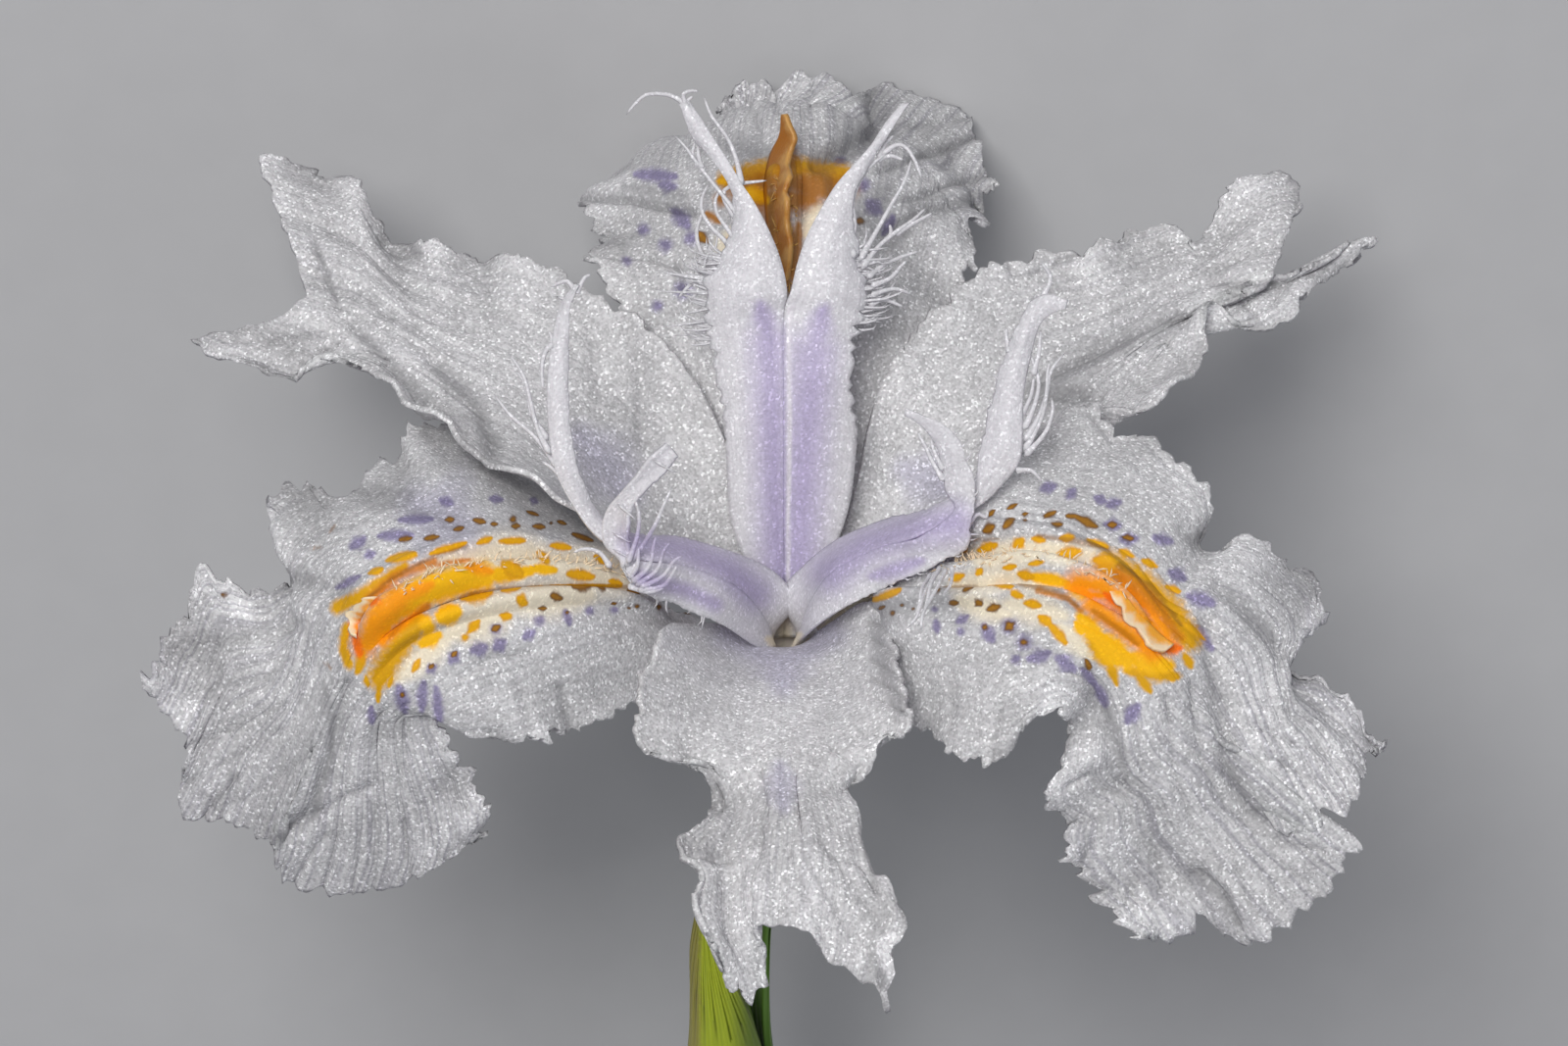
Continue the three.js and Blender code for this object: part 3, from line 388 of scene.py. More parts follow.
# Each colour: its rim's wander and softness, its cover, and how far it hides the crystals. They are laid
# over one another in this order
layers = {
    "cream": (colour(0.90, 0.80, 0.62), 0.25, 0.42, 0.95, 0.8),
    "haze": (colour(0.56, 0.53, 0.70), 0.15, 0.50, 0.55, 0.0),
    "lilac": (colour(0.42, 0.345, 0.60), 0.12, 0.50, 0.74, 0.0),
    "keel": (colour(0.84, 0.80, 0.86), 0.05, 0.40, 0.9, 0.0),
    "violet": (colour(0.21, 0.17, 0.37), 0.5, 0.34, 0.8, 0.2),
    "gold": (colour(0.72, 0.37, 0.0), 0.5, 0.28, 1.0, 1.0),
    "yellow": (colour(1.0, 0.52, 0.0), 0.35, 0.24, 1.0, 1.0),
    "orange": (colour(1.0, 0.34, 0.0), 0.35, 0.42, 1.0, 1.0),
    "rust": (colour(0.62, 0.21, 0.0), 0.45, 0.40, 0.9, 1.0),
    # the next colour is the crest's rust darkened with painted shade, where the back crest lies under the
    # back arm
    "rustAndShade": (colour(0.40, 0.15, 0.004), 0.45, 0.40, 0.95, 1.0),
    "amber": (colour(0.72, 0.34, 0.0), 0.35, 0.24, 1.0, 1.0),
    "amberCore": (colour(0.88, 0.45, 0.0), 0.3, 0.20, 0.75, 1.0),
    "ember": (colour(1.0, 0.18, 0.0), 0.4, 0.34, 1.0, 1.0),
    "brown": (colour(0.13, 0.052, 0.008), 0.45, 0.26, 1.0, 1.0),
    "brownCore": (colour(0.42, 0.19, 0.012), 0.35, 0.20, 0.8, 1.0),
    # the next colour is painted shade: thin dark lines in the crests' grooves, beside ridges and in tears
    "paintedShadeLines": (colour(0.25, 0.10, 0.008), 0.30, 0.36, 0.6, 0.5),
    # the next colour is painted shadow: dark patches in folds, tears and under other parts
    "paintedShadow": (colour(0.09, 0.09, 0.10), 0.25, 0.50, 0.42, 0.4),
}
coreShift = -0.24                         # a core is the inner part of its mark
tissue = {
    "white": colour(0.74, 0.735, 0.75), "armWhite": colour(0.80, 0.785, 0.825), "armCells": 0.55,
    "vein": colour(0.38, 0.37, 0.42), "veined": 0.64, "veinSpan": (0.46, 0.61), "always": 0.25,
    "streaks": {"Across": 5.0, "Along": 0.10}, "ribs": 0.42, "ribDepth": 0.00012,
    "cells": {"Per metre": 11000.0}, "cellBump": 0.4, "cellDepth": 0.00004,
    "deep": 0.34, "underPaint": 0.2,      # how dark the painted fold shading gets, and what is left of the cells under paint
    "roughness": 0.46, "glintPolish": -0.24, "paintRoughness": 0.25,
    "skin": {"Specular IOR Level": 0.35, "Subsurface Weight": 0.2, "Subsurface Radius": (1.0, 0.8, 0.9),
             "Subsurface Scale": 0.0005},
}


def petalMaterial(name, painted, strength=1.0, white=tissue["white"]):
    material, tree, skin = newMaterial(name)
    cell = useGroup(tree, cells, tissue["cells"])
    streak = useGroup(tree, streaks, tissue["streaks"])["Streak"]
    lined = calc(tree, "MULTIPLY_ADD", ownPlace(tree)[2], 1 - tissue["always"], tissue["always"])
    faint = calc(tree, "MULTIPLY", spread(tree, streak, *tissue["veinSpan"], tissue["veined"]), lined)
    base = mix(tree, faint, white, tissue["vein"])
    covered = 0.0
    for field in painted:
        paintColour, wanderBy, soft, cover, hides = layers[field]
        read = ownField(tree, field.removesuffix("Core"))
        if field.endswith("Core"):
            read = calc(tree, "ADD", read, coreShift)
        mask = useGroup(tree, marks, {"Field": read, "Wander": wanderBy, "Soft": soft})["Mask"]
        base = mix(tree, calc(tree, "MULTIPLY", mask, cover), base, paintColour)
        covered = calc(tree, "MAXIMUM", covered, calc(tree, "MULTIPLY", mask, hides))
    bare = calc(tree, "SUBTRACT", 1.0, covered)
    under, deep = tissue["underPaint"], tissue["deep"]
    flecks = calc(tree, "MULTIPLY_ADD", bare, (1 - under) * strength, under * strength)
    flecked = mix(tree, flecks, base, darkened(tree, base, cell["ToneAndGlint"]))
    shadingStrength = calc(tree, "MULTIPLY_ADD", bare, (under - 1) * deep, -under * deep)
    # painted shading: darker in the folds, lighter on the ridges
    shadedBase = darkened(tree, flecked, calc(tree, "MULTIPLY_ADD", ownField(tree, "paintedShading"), shadingStrength, 1.0))
    ribbed = bumped(tree, calc(tree, "MULTIPLY", streak, lined), tissue["ribs"], tissue["ribDepth"])
    domed = bumped(tree, calc(tree, "MULTIPLY", cell["Height"], bare), tissue["cellBump"] * strength,
                   tissue["cellDepth"], Normal=ribbed)
    rough = calc(tree, "MULTIPLY_ADD", cell["Glint"], tissue["glintPolish"], tissue["roughness"])
    rough = calc(tree, "MULTIPLY_ADD", covered, tissue["paintRoughness"], rough)
    setInputs(tree, skin, {"Base Color": shadedBase, "Normal": domed, "Roughness": rough, **tissue["skin"]})
    return material


fallSkin = petalMaterial("fallSkin", [name for name in layers if name not in ("lilac", "keel")])
fallBackSkin = petalMaterial("fallBackSkin", [])
standardSkin = petalMaterial("standardSkin", ["haze", "paintedShadow"])
armSkin = petalMaterial("armSkin", ["cream", "lilac", "keel", "paintedShadow"], tissue["armCells"], tissue["armWhite"])
print("petal materials ready")

# The six petals. Each line starts on the claw, then has points of its own plane, out, side and high, and
# then points as the eye sees them: right, up and the height, or right and up alone on the petal's mid plane
petals = {
    "fall_left": {
        "azimuth": 210, "crest": 1, "teeth": 15, "ruffle": 0.45, "cupPower": 1.5, "tipPower": 4,
        "midOwn": [(3.4, 0, 2), (5.2, 0, 4)],
        "midSeen": [(-6.4, 2.1), (-10, 2.7), (-13.2, 2.4), (-16, 1.3), (-17.4, -0.2), (-18.5, -2.6, 7.2),
            (-19.7, -5.8, 3.6), (-20.9, -9, -0.2)],
        "rightOwn": [(3.6, -1.6, 1.7), (5.2, -3, 1.8)],
        "rightSeen": [(-8, 5, 2.4), (-11.2, 7, 4.4), (-13.6, 8.7, 6.2), (-15.2, 8.8, 7.2), (-16, 7.4, 7.8),
            (-18.1, 6, 8.2), (-19.6, 6.9, 8.4), (-21.1, 5.7, 8), (-20.3, 3.8, 8.2), (-21.5, 2.3, 7.2),
            (-23.8, 2.9, 7.4), (-25, 1, 6.4), (-26.4, -1.6, 5)],
        "leftOwn": [(3.4, 1.3, 1.3), (6, 3.2, 2.2)],
        "leftSeen": [(-6, -2.7, 3.9), (-8, -3.9, 4.8), (-10.4, -4.6, 5.6), (-12.4, -4.2, 6.2),
            (-13.1, -3.1, 7), (-14, -2.8, 7.2), (-13.4, -3.9, 5.8), (-12.5, -5.4, 4.4), (-11.7, -6.7, 3),
            (-12.2, -8, 1.8)],
        "tipRight": [(-25.3, -3.4, 3.4), (-24.4, -4.5, 2.6), (-24.7, -7.3, -0.2), (-22.4, -7.8, -0.2)],
        "tipLeft": [(-20.3, -10.2, -2.4), (-18, -10.6, -2.6), (-15.6, -10.2, -1.6), (-13.8, -9.2, 0.2)],
    },
    "fall_right": {
        "azimuth": 330, "crest": 1, "teeth": 15, "ruffle": 0.45, "cupPower": 2, "tipPower": 5,
        "midOwn": [(3.4, 0, 2), (5.2, 0, 4)],
        "midSeen": [(6.6, 2.2), (10, 2.8), (12, 2.4), (14, 1), (15.8, -0.7), (17.6, -3.6, 5.2), (19, -6, 3.2),
            (20.2, -8, 1.6)],
        "rightOwn": [(3.4, -1.4, 1.5), (6, -3.6, 2.6)],
        "rightSeen": [(5.4, -3.8, 4.2), (6.4, -4.6, 4.8), (7.6, -5.4, 5.2), (8.8, -5.2, 5.8),
            (9.7, -4.2, 6.6), (10.2, -3.3, 7), (10.9, -3, 7), (11.4, -3.7, 6.2), (11.2, -5.2, 4.8),
            (10.3, -6.5, 3.8), (10.7, -7.4, 3), (11.6, -7.8, 2.8), (10.8, -8.7, 1.8), (11.4, -9.5, 1),
            (12, -10.2, 0.4), (12.7, -11.2, -0.4), (13.2, -12.2, -1.4)],
        "leftOwn": [(3.6, 1.6, 1.8), (6.5, 4.2, 3.6), (9.5, 6, 6.4)],
        "leftSeen": [(11.4, 8.6, 9), (12.4, 9.5, 9.6), (14, 8.4, 9.2), (15.2, 8.4, 9), (16.2, 6.9, 8.6),
            (17.6, 5.9, 8.2), (17.6, 4.6, 8), (17.7, 3.6, 7.6), (19.2, 3.8, 7.4), (20.9, 3.4, 6.8),
            (22.1, 2.4, 6), (21.8, 1.2, 5.6), (21.1, 0.4, 5.8), (21, -0.9, 5.4), (22.2, -1.4, 4.6),
            (22.9, -2.2, 4), (24, -3.4, 3.4), (24.4, -4.3, 3)],
        "tipRight": [(15.2, -12.3, -2.2), (16.6, -12.3, -2.4), (17.3, -11.5, -1.8), (18.5, -12.6, -2.8),
            (20, -12.6, -2.2), (21.4, -11.4, -1.2), (22.5, -10.6, -0.4), (23.1, -9.2, 0.8), (23.1, -8.1, 1.6),
            (22, -8.5, 1.2)],
        "tipLeft": [(22, -8, 1.8), (23, -7.4, 2.2), (23.7, -6, 2.6)],
    },
    "fall_back": {
        "azimuth": 90, "crest": 1, "teeth": 13, "ruffle": 0.3, "cupPower": 1.3, "tipPower": 3,
        "midOwn": [(3.4, 0, 2), (5.2, 0, 4), (7.6, -0.1, 6.6), (11.6, -0.2, 9.4), (15.2, -0.2, 10.8),
            (18.4, -0.2, 11.2), (20.6, -0.3, 10.6)],
        "midSeen": [(1, 20.8, 9.4), (2.1, 21.1, 8.8), (3, 21.6, 7.8)],
        "rightOwn": [(3.6, -1.6, 2), (6.5, -4.2, 4.2), (9.5, -6.4, 6.2)],
        "rightSeen": [(8, 15.4, 7.4), (7.7, 16.4, 7.6), (8.6, 16.5, 7.4), (8.3, 17.4, 7.2), (8.7, 18.4, 7)],
        "leftOwn": [(3.6, 1.6, 2), (6.5, 4.2, 4.2), (9.8, 6.2, 6.2)],
        "leftSeen": [(-7.6, 14.5, 7.6), (-8.3, 15.5, 7.4), (-7.9, 16.4, 7), (-8.5, 17.5, 5.6),
            (-8, 17.9, 3.4), (-6, 18.1, 2.4), (-4, 18.8, 3.6), (-2.8, 20, 5.8), (-2.8, 21.1, 7.4)],
        "tipRight": [(8.2, 19.4, 6.6), (8, 20.4, 6.1), (7.5, 21.5, 5.9), (6.4, 21.9, 6.2), (5.2, 22.4, 6.8),
            (4, 22.7, 7.4), (3.2, 22.4, 7.6)],
        "tipLeft": [(2.7, 22.3, 8.2), (1.8, 22.8, 8.4), (0.4, 22.9, 8.6), (-0.4, 22.4, 8.4),
            (-1.4, 22.8, 8.2), (-2.2, 22.1, 7.8)],
    },
    "standard_left": {
        "azimuth": 150, "crest": 0, "teeth": 15, "ruffle": 0.3, "cupPower": 2, "tipPower": 3,
        "midOwn": [(4, 0, 2.2), (8, 0, 5.2), (12, 0, 7.2), (16, 0, 8), (20, 0, 8.6)],
        "midSeen": [(-19.5, 13.9, 8.8)],
        "rightSeen": [(-1.4, 2.8, 1.6), (-1.8, 5.2, 3.6), (-2.4, 8, 5.6), (-4, 11.1, 7.6), (-6, 13.3, 8.7),
            (-8, 14.4, 9.2), (-9.6, 15.4, 9), (-11.2, 15.8, 8.8), (-12.8, 15.8, 8.6), (-14.4, 16.3, 8.8),
            (-15.4, 16.5, 8.6), (-16.6, 17.4, 8.8), (-17.4, 18.7, 9), (-18.4, 19.2, 9.2), (-19.6, 19.5, 9.4),
            (-20.9, 19.8, 9.6)],
        "leftOwn": [(3.2, 1.6, 2), (5.4, 2.9, 5.2)],
        "leftSeen": [(-8, 4.9, 7.9), (-11.2, 6.9, 9.3), (-14, 8.9, 9.8), (-15.2, 9.4, 9.4),
            (-16.5, 10.5, 8.6), (-17.5, 11.3, 8.4), (-19, 11.2, 8), (-20.6, 10.5, 7), (-22, 11, 7),
            (-23.4, 11.4, 6.9), (-24.6, 12, 6.8)],
        "tipRight": [(-21.5, 19.2, 9.6), (-20.8, 17.4, 9.4), (-20, 15.5, 9.2)],
        "tipLeft": [(-20.8, 13, 8.4), (-22.4, 12.7, 7.8), (-24, 12.3, 7.2)],
    },
    "standard_right": {
        "azimuth": 30, "crest": 0, "teeth": 15, "ruffle": 0.3, "cupPower": 2, "tipPower": 3,
        "midOwn": [(4, 0, 2.2), (8, 0, 4.6), (12, 0.2, 6.6), (16, 0.4, 7.6), (19.4, 0.8, 8.2)],
        "midSeen": [(18.7, 14.1, 9)],
        "rightOwn": [(3.2, -1.6, 1.9), (5.4, -3, 4.4)],
        "rightSeen": [(7.2, 5.4, 7.4), (9.6, 7.9, 8.4), (12.4, 9.4, 8.6), (14.6, 9.4, 8.9), (16.1, 10, 9),
            (17, 11.3, 9), (17.5, 12.4, 8.8), (17.7, 13.3, 8.8), (18.4, 12.9, 8.4), (19.6, 12.6, 8),
            (21, 12.9, 8), (21.5, 14, 8.2), (22.8, 14.9, 8.2), (24.2, 15.8, 8.5)],
        "leftSeen": [(1.6, 2.4, 1.6), (2.5, 4.6, 3.2), (3.1, 6.8, 4.8), (3.5, 8.8, 6), (4.2, 11, 7.4),
            (5.6, 13.2, 8.5), (7, 14.6, 9), (8.1, 15.4, 9.1), (9.3, 15.6, 8.9), (10.7, 16, 8.9),
            (12.1, 15.9, 8.9), (13.2, 16.6, 9.1), (14.4, 17, 9.1), (15.8, 16.9, 9.1), (16.2, 16.1, 8.9),
            (17.1, 16.7, 9.1), (17.7, 18, 9.5), (18.5, 18.7, 9.9), (19.6, 19.2, 10.1)],
        "tipRight": [(24.3, 16.3, 8.7), (23.4, 16.2, 8.8), (22, 15.3, 8.8), (20.4, 14.7, 8.9)],
        "tipLeft": [(19.9, 14.6, 9.2), (20.5, 16.4, 9.7), (21.1, 17.6, 10.1), (21.2, 18.4, 10.1),
            (20.6, 19, 10.1)],
    },
    "standard_front": {
        "azimuth": 270, "crest": 0, "teeth": 15, "ruffle": 0.2, "cupPower": 2, "tipPower": 3,
        "midOwn": [(4, 0, 1.8), (8, 0, 4), (12, 0, 5.4), (16, 0, 6)],
        "midSeen": [(-0.2, -11.8, 4.6)],
        "rightSeen": [(-2.4, 0.3, 2.9), (-4, 0.5, 5.3), (-5, 0.4, 6.6), (-5.6, -0.6, 7.3), (-6.1, -2, 7.4),
            (-6.2, -3.6, 7), (-5.9, -4.6, 6.4), (-4.4, -4.8, 5.4), (-3.5, -5.4, 4.9), (-2.9, -6.5, 4.6),
            (-3.4, -7.4, 5.2), (-4.2, -7.9, 5.6), (-4.1, -8.7, 5.6), (-3.7, -9.4, 5.2), (-3.8, -10.2, 5.2),
            (-3.7, -11.1, 5), (-3.1, -12.2, 4.4), (-2.6, -13, 3.6), (-2.2, -14, 2.6)],
        "leftSeen": [(1.3, -0.3, 1.8), (2, 0.5, 3.1), (3.4, 1.4, 5.2), (4.2, 0.7, 5.9), (4.6, -0.8, 6.6),
            (5, -2.2, 7), (5.4, -3.7, 6.8), (4.6, -4, 6.2), (3.9, -4.6, 5.8), (3.7, -5.4, 5.2),
            (2.7, -6.6, 4.8), (3.2, -7.6, 5.2), (3.5, -8.8, 5.4), (3.8, -9.8, 5.2), (4.4, -10.1, 5.4),
            (5, -11, 5.4), (5.1, -12.1, 4.8), (4.5, -12.9, 4.2), (4.6, -13.8, 3.6), (4.2, -14.8, 2.8)],
        "tipRight": [(-2.2, -14.6, 2), (-1.8, -14.4, 2), (-1.4, -15.1, 1.4), (-1.1, -14.5, 1.8),
            (-0.6, -14.4, 2), (-0.8, -13.4, 2.8), (-1, -12.4, 3.8), (-0.9, -11.9, 4.4)],
        "tipLeft": [(1, -12.2, 4.6), (1.8, -13.3, 4), (2.8, -13.9, 3.6), (3.8, -14.5, 3.2)],
    },
}
petalClaw = {"mid": (2.2, 0, 0.2), "right": (2.1, -0.85, 0.1), "left": (2.1, 0.85, 0.1)}
# Strokes of colour: x, y, x, y, ... along the stroke and its radius, in the photograph's pixels; the thin
# dark lines along grooves and tears and the dark patches in folds and under other parts are painted shade
petalStrokes = {
    "fall_left": {
        "brown": [(484, 533, 494, 535, 4), (501, 537, 506, 537, 3.5), (522, 532, 4), (522, 539, 528, 539, 4),
            (543, 539, 554, 540, 3.6), (536, 524, 548, 528, 2.4), (561, 536, 2), (568, 534, 576, 537, 2.8),
            (583, 547, 603, 554, 3.4), (455, 533, 462, 532, 4), (463, 543, 473, 541, 3.4),
            (434, 552, 447, 550, 4), (408, 553, 420, 551, 3.4), (584, 601, 603, 600, 3.4),
            (609, 600, 616, 602, 3.2), (639, 601, 650, 604, 3.4), (561, 607, 571, 609, 4.2),
            (549, 620, 555, 621, 4.4), (502, 643, 508, 640, 4.4), (461, 669, 465, 665, 3.4),
            (438, 681, 442, 678, 3), (411, 707, 2.6), (622, 614, 628, 614, 2), (640, 619, 2.2),
            (648, 617, 2.8), (670, 620, 2.8), (682, 621, 2.2), (698, 627, 704, 628, 2.4), (710, 630, 2.2),
            (577, 626, 2.4), (230, 606, 3.2)],
        "amber": [(508, 553, 534, 552, 3.8), (486, 555, 500, 550, 3.6), (560, 557, 580, 560, 3.6),
            (438, 566, 474, 555, 3.6), (396, 574, 424, 567, 5), (378, 587, 391, 582, 3.4),
            (548, 564, 557, 574, 6), (513, 577, 529, 585, 8), (578, 585, 603, 588, 5.5),
            (605, 568, 618, 575, 4), (620, 592, 632, 595, 3.6), (512, 605, 530, 602, 3.4),
            (472, 612, 500, 607, 7), (535, 600, 560, 598, 2.2), (528, 611, 535, 614, 6),
            (511, 627, 519, 629, 6), (478, 645, 487, 634, 5.5), (474, 651, 4), (422, 684, 428, 673, 4),
            (632, 597, 600, 596, 560, 597, 1.8)],
        "violet": [(500, 511, 510, 512, 5), (541, 512, 546, 514, 4.5), (450, 512, 461, 516, 5.5),
            (408, 533, 440, 532, 5), (388, 549, 420, 548, 6), (374, 569, 382, 566, 5.5),
            (346, 600, 368, 590, 4.5), (505, 660, 512, 655, 8), (482, 664, 494, 660, 7.5),
            (460, 674, 465, 667, 7), (437, 684, 443, 680, 6), (432, 695, 431, 722, 6),
            (408, 700, 414, 724, 7.5), (534, 650, 543, 645, 5.5), (549, 634, 5.5), (575, 624, 579, 637, 5),
            (600, 624, 5), (625, 623, 4.5), (380, 720, 378, 736, 4), (505, 642, 6), (360, 560, 372, 552, 7),
            (445, 700, 450, 740, 5)],
        "gold": [(425, 636, 412, 652, 398, 672, 388, 690, 13), (372, 664, 366, 684, 7),
            (388, 692, 387, 714, 4), (401, 690, 398, 700, 4), (374, 690, 376, 698, 3),
            (346, 621, 372, 607, 392, 592, 7), (392, 592, 414, 577, 6), (356, 640, 352, 660, 358, 678, 5)],
        "yellow": [(448, 630, 466, 624, 10), (430, 656, 446, 648, 10), (436, 638, 8),
            (395, 625, 430, 603, 470, 592, 490, 588, 15), (378, 656, 395, 632, 12), (490, 588, 540, 583, 8),
            (540, 580, 565, 582, 5)],
        "orange": [(374, 656, 384, 632, 404, 612, 13), (404, 612, 440, 596, 6), (500, 583, 475, 580, 5),
            (392, 655, 412, 636, 432, 618, 5)],
        "rust": [(442, 574, 404, 588, 378, 610, 4.5), (478, 572, 442, 577, 3),
            (436, 616, 414, 634, 400, 650, 2.6)],
        "ember": [(362, 634, 361, 643, 366, 652, 368, 666, 4), (378, 618, 392, 612, 3)],
        "cream": [(650, 592, 560, 575, 22), (560, 572, 480, 568, 22), (480, 570, 430, 582, 14),
            (600, 606, 520, 616, 18), (520, 616, 460, 645, 22), (460, 645, 408, 690, 14)],
        "haze": [(430, 520, 470, 540, 40)],
        "paintedShadeLines": [(640, 598, 600, 597, 545, 598, 508, 600, 2.2), (508, 600, 478, 604, 444, 619, 2.2),
            (476, 558, 440, 569, 400, 590, 372, 612, 1.6), (318, 561, 330, 560, 2), (337, 546, 344, 537, 1.8),
            (332, 674, 340, 682, 1.6)],
        "paintedShadow": [(275, 868, 290, 850, 6), (335, 700, 338, 770, 320, 835, 4), (340, 500, 420, 506, 8),
            (285, 585, 320, 592, 10)],
    },
    "fall_right": {
        "brown": [(1006, 541, 1015, 538, 5), (1026, 538, 1034, 532, 5), (1044, 527, 1049, 526, 2.8),
            (1046, 533, 2.8), (1028, 521, 1038, 516, 2.6), (1010, 528, 1015, 523, 3),
            (1066, 529, 1077, 524, 4.2), (1074, 537, 1083, 537, 4.6), (1088, 528, 1100, 529, 3.4),
            (1100, 530, 1118, 539, 5), (1131, 537, 1138, 537, 4), (1145, 550, 1155, 551, 4),
            (970, 614, 979, 614, 3.6), (899, 620, 905, 618, 2.6), (913, 626, 2.8), (922, 617, 2.4),
            (958, 604, 2.6), (933, 622, 2.2), (984, 604, 993, 601, 3), (998, 612, 1002, 616, 5.5),
            (1010, 622, 1020, 618, 6), (1030, 638, 1033, 642, 6.5), (1046, 656, 4), (1006, 641, 3.4),
            (1106, 672, 1112, 681, 3.4)],
        "amber": [(1001, 561, 1017, 555, 6.5), (986, 560, 3.4), (1038, 556, 1044, 551, 7.5),
            (1055, 549, 1067, 551, 4.4), (1083, 549, 1095, 550, 3.8), (1109, 553, 1130, 560, 4.4),
            (1142, 563, 1155, 569, 4.8), (1165, 573, 1179, 579, 4.4), (1189, 600, 1203, 605, 4),
            (972, 591, 984, 587, 4.6), (999, 585, 1003, 581, 4.6), (1026, 579, 1038, 577, 3.4),
            (1082, 566, 1102, 563, 7.5), (1118, 571, 1134, 573, 6.5), (1034, 605, 1045, 608, 4),
            (1048, 614, 1062, 617, 5.2), (1062, 630, 1072, 637, 6), (1072, 638, 1087, 656, 5.5),
            (1042, 584, 1054, 588, 6), (890, 612, 920, 603, 3.4), (1010, 598, 1035, 601, 2.4),
            (1052, 575, 1066, 573, 3), (1206, 636, 1228, 653, 3.4)],
        "violet": [(1063, 501, 1076, 498, 6.5), (1090, 509, 1096, 502, 6), (1118, 510, 1126, 514, 6),
            (1130, 517, 1142, 514, 6), (1128, 537, 1141, 538, 7), (1144, 552, 1158, 551, 7.5),
            (1177, 550, 1193, 554, 6.5), (1193, 585, 1207, 592, 7.5), (1212, 610, 1236, 616, 8),
            (1036, 675, 1040, 672, 7), (1052, 673, 1070, 667, 8), (1080, 672, 1094, 682, 8),
            (1103, 682, 1118, 697, 6), (1118, 697, 1130, 718, 6.5), (1005, 640, 1014, 654, 7),
            (978, 636, 988, 630, 5), (982, 645, 4), (955, 622, 4), (956, 634, 958, 645, 4.5), (1046, 656, 8),
            (1031, 640, 8), (1220, 640, 1236, 662, 6), (1160, 720, 1150, 735, 8)],
        "gold": [(1130, 575, 1165, 594, 1195, 624, 1212, 652, 13), (1130, 672, 1140, 698, 5),
            (1158, 684, 1173, 705, 5.5), (1184, 684, 1196, 694, 5), (1150, 684, 1200, 690, 8),
            (1208, 668, 1214, 680, 6), (1112, 650, 1128, 675, 9)],
        "yellow": [(1054, 587, 1090, 594, 8), (1090, 598, 1112, 608, 9), (1103, 628, 1122, 655, 12),
            (1120, 650, 1150, 676, 16), (1150, 670, 1192, 680, 12), (1098, 636, 1104, 646, 6)],
        "orange": [(1148, 597, 1172, 618, 1190, 648, 9), (1092, 602, 1130, 607, 6),
            (1112, 616, 1145, 640, 1176, 666, 9), (1100, 594, 1124, 596, 1150, 618, 1190, 656, 12)],
        "rust": [(1140, 584, 1162, 598, 1186, 626, 1202, 650, 5), (1060, 603, 1090, 610, 1104, 622, 2.4),
            (1116, 622, 1150, 646, 1160, 656, 2.6)],
        "ember": [(1186, 662, 1203, 661, 6), (1128, 604, 1140, 614, 4)],
        "cream": [(985, 566, 1040, 558, 1085, 560, 1112, 566, 8), (975, 598, 1040, 588, 14),
            (1040, 590, 1070, 600, 12), (1000, 573, 1060, 565, 14), (1060, 560, 1096, 572, 10),
            (1030, 616, 1085, 628, 16), (1082, 640, 1112, 668, 11), (980, 612, 1030, 628, 14)],
        "paintedShadeLines": [(962, 599, 1000, 597, 2), (1040, 598, 1080, 605, 1100, 617, 2.2),
            (985, 550, 1022, 548, 1.8), (1060, 546, 1095, 552, 1132, 563, 2.2),
            (1140, 577, 1172, 598, 1204, 638, 2.2)],
        "paintedShadow": [(890, 622, 930, 618, 958, 612, 14), (1232, 560, 1222, 545, 10), (1250, 600, 1300, 655, 8),
            (1252, 780, 1278, 828, 1310, 844, 5), (1225, 898, 1250, 915, 1264, 940, 4),
            (1108, 860, 1104, 876, 5), (1130, 720, 1148, 775, 6)],
    },
    "fall_back": {
        "rustAndShade": [(786, 205, 796, 245, 14), (815, 192, 842, 198, 14),
            (752, 192, 790, 187, 830, 189, 860, 193, 13), (764, 206, 830, 204, 18), (790, 230, 800, 290, 12),
            (800, 190, 803, 150, 12), (812, 230, 808, 285, 8), (722, 219, 736, 228, 5),
            (755, 238, 763, 254, 4), (746, 248, 5), (737, 205, 7)],
        "amber": [(736, 187, 756, 178, 7), (760, 196, 786, 205, 8), (866, 178, 5)],
        "gold": [(744, 184, 780, 174, 820, 172, 862, 180, 10)],
        "cream": [(834, 212, 824, 240, 9), (736, 262, 748, 238, 10), (770, 262, 790, 285, 10)],
        "violet": [(690, 215, 702, 232, 9), (688, 192, 676, 190, 8), (680, 252, 7), (706, 245, 7),
            (640, 268, 5), (698, 297, 9), (886, 208, 894, 217, 10), (880, 190, 7), (650, 180, 690, 182, 7),
            (672, 313, 6), (658, 236, 6), (900, 240, 910, 222, 6), (856, 168, 7)],
        "brown": [(714, 240, 722, 248, 6), (872, 226, 880, 227, 4)],
        "paintedShadeLines": [(803, 300, 806, 270, 808, 240, 3), (790, 250, 790, 190, 3)],
        "paintedShadow": [(592, 205, 640, 203, 705, 214, 6), (640, 192, 700, 202, 7),
            (836, 164, 870, 146, 905, 124, 892, 98, 13), (905, 172, 960, 153, 996, 140, 5),
            (920, 206, 972, 190, 1014, 176, 5), (900, 236, 950, 214, 1000, 204, 8), (964, 168, 972, 164, 6),
            (1008, 197, 1014, 195, 4), (870, 232, 905, 196, 16), (740, 150, 790, 160, 14),
            (880, 262, 930, 236, 6), (640, 250, 600, 252, 4), (700, 300, 690, 270, 6)],
    },
    "standard_front": {
        "haze": [(799, 676, 799, 700, 24), (740, 650, 798, 680, 850, 648, 14), (796, 785, 800, 825, 14)],
        "paintedShadow": [(896, 640, 904, 680, 922, 728, 8), (716, 782, 738, 815, 7), (880, 850, 893, 900, 4),
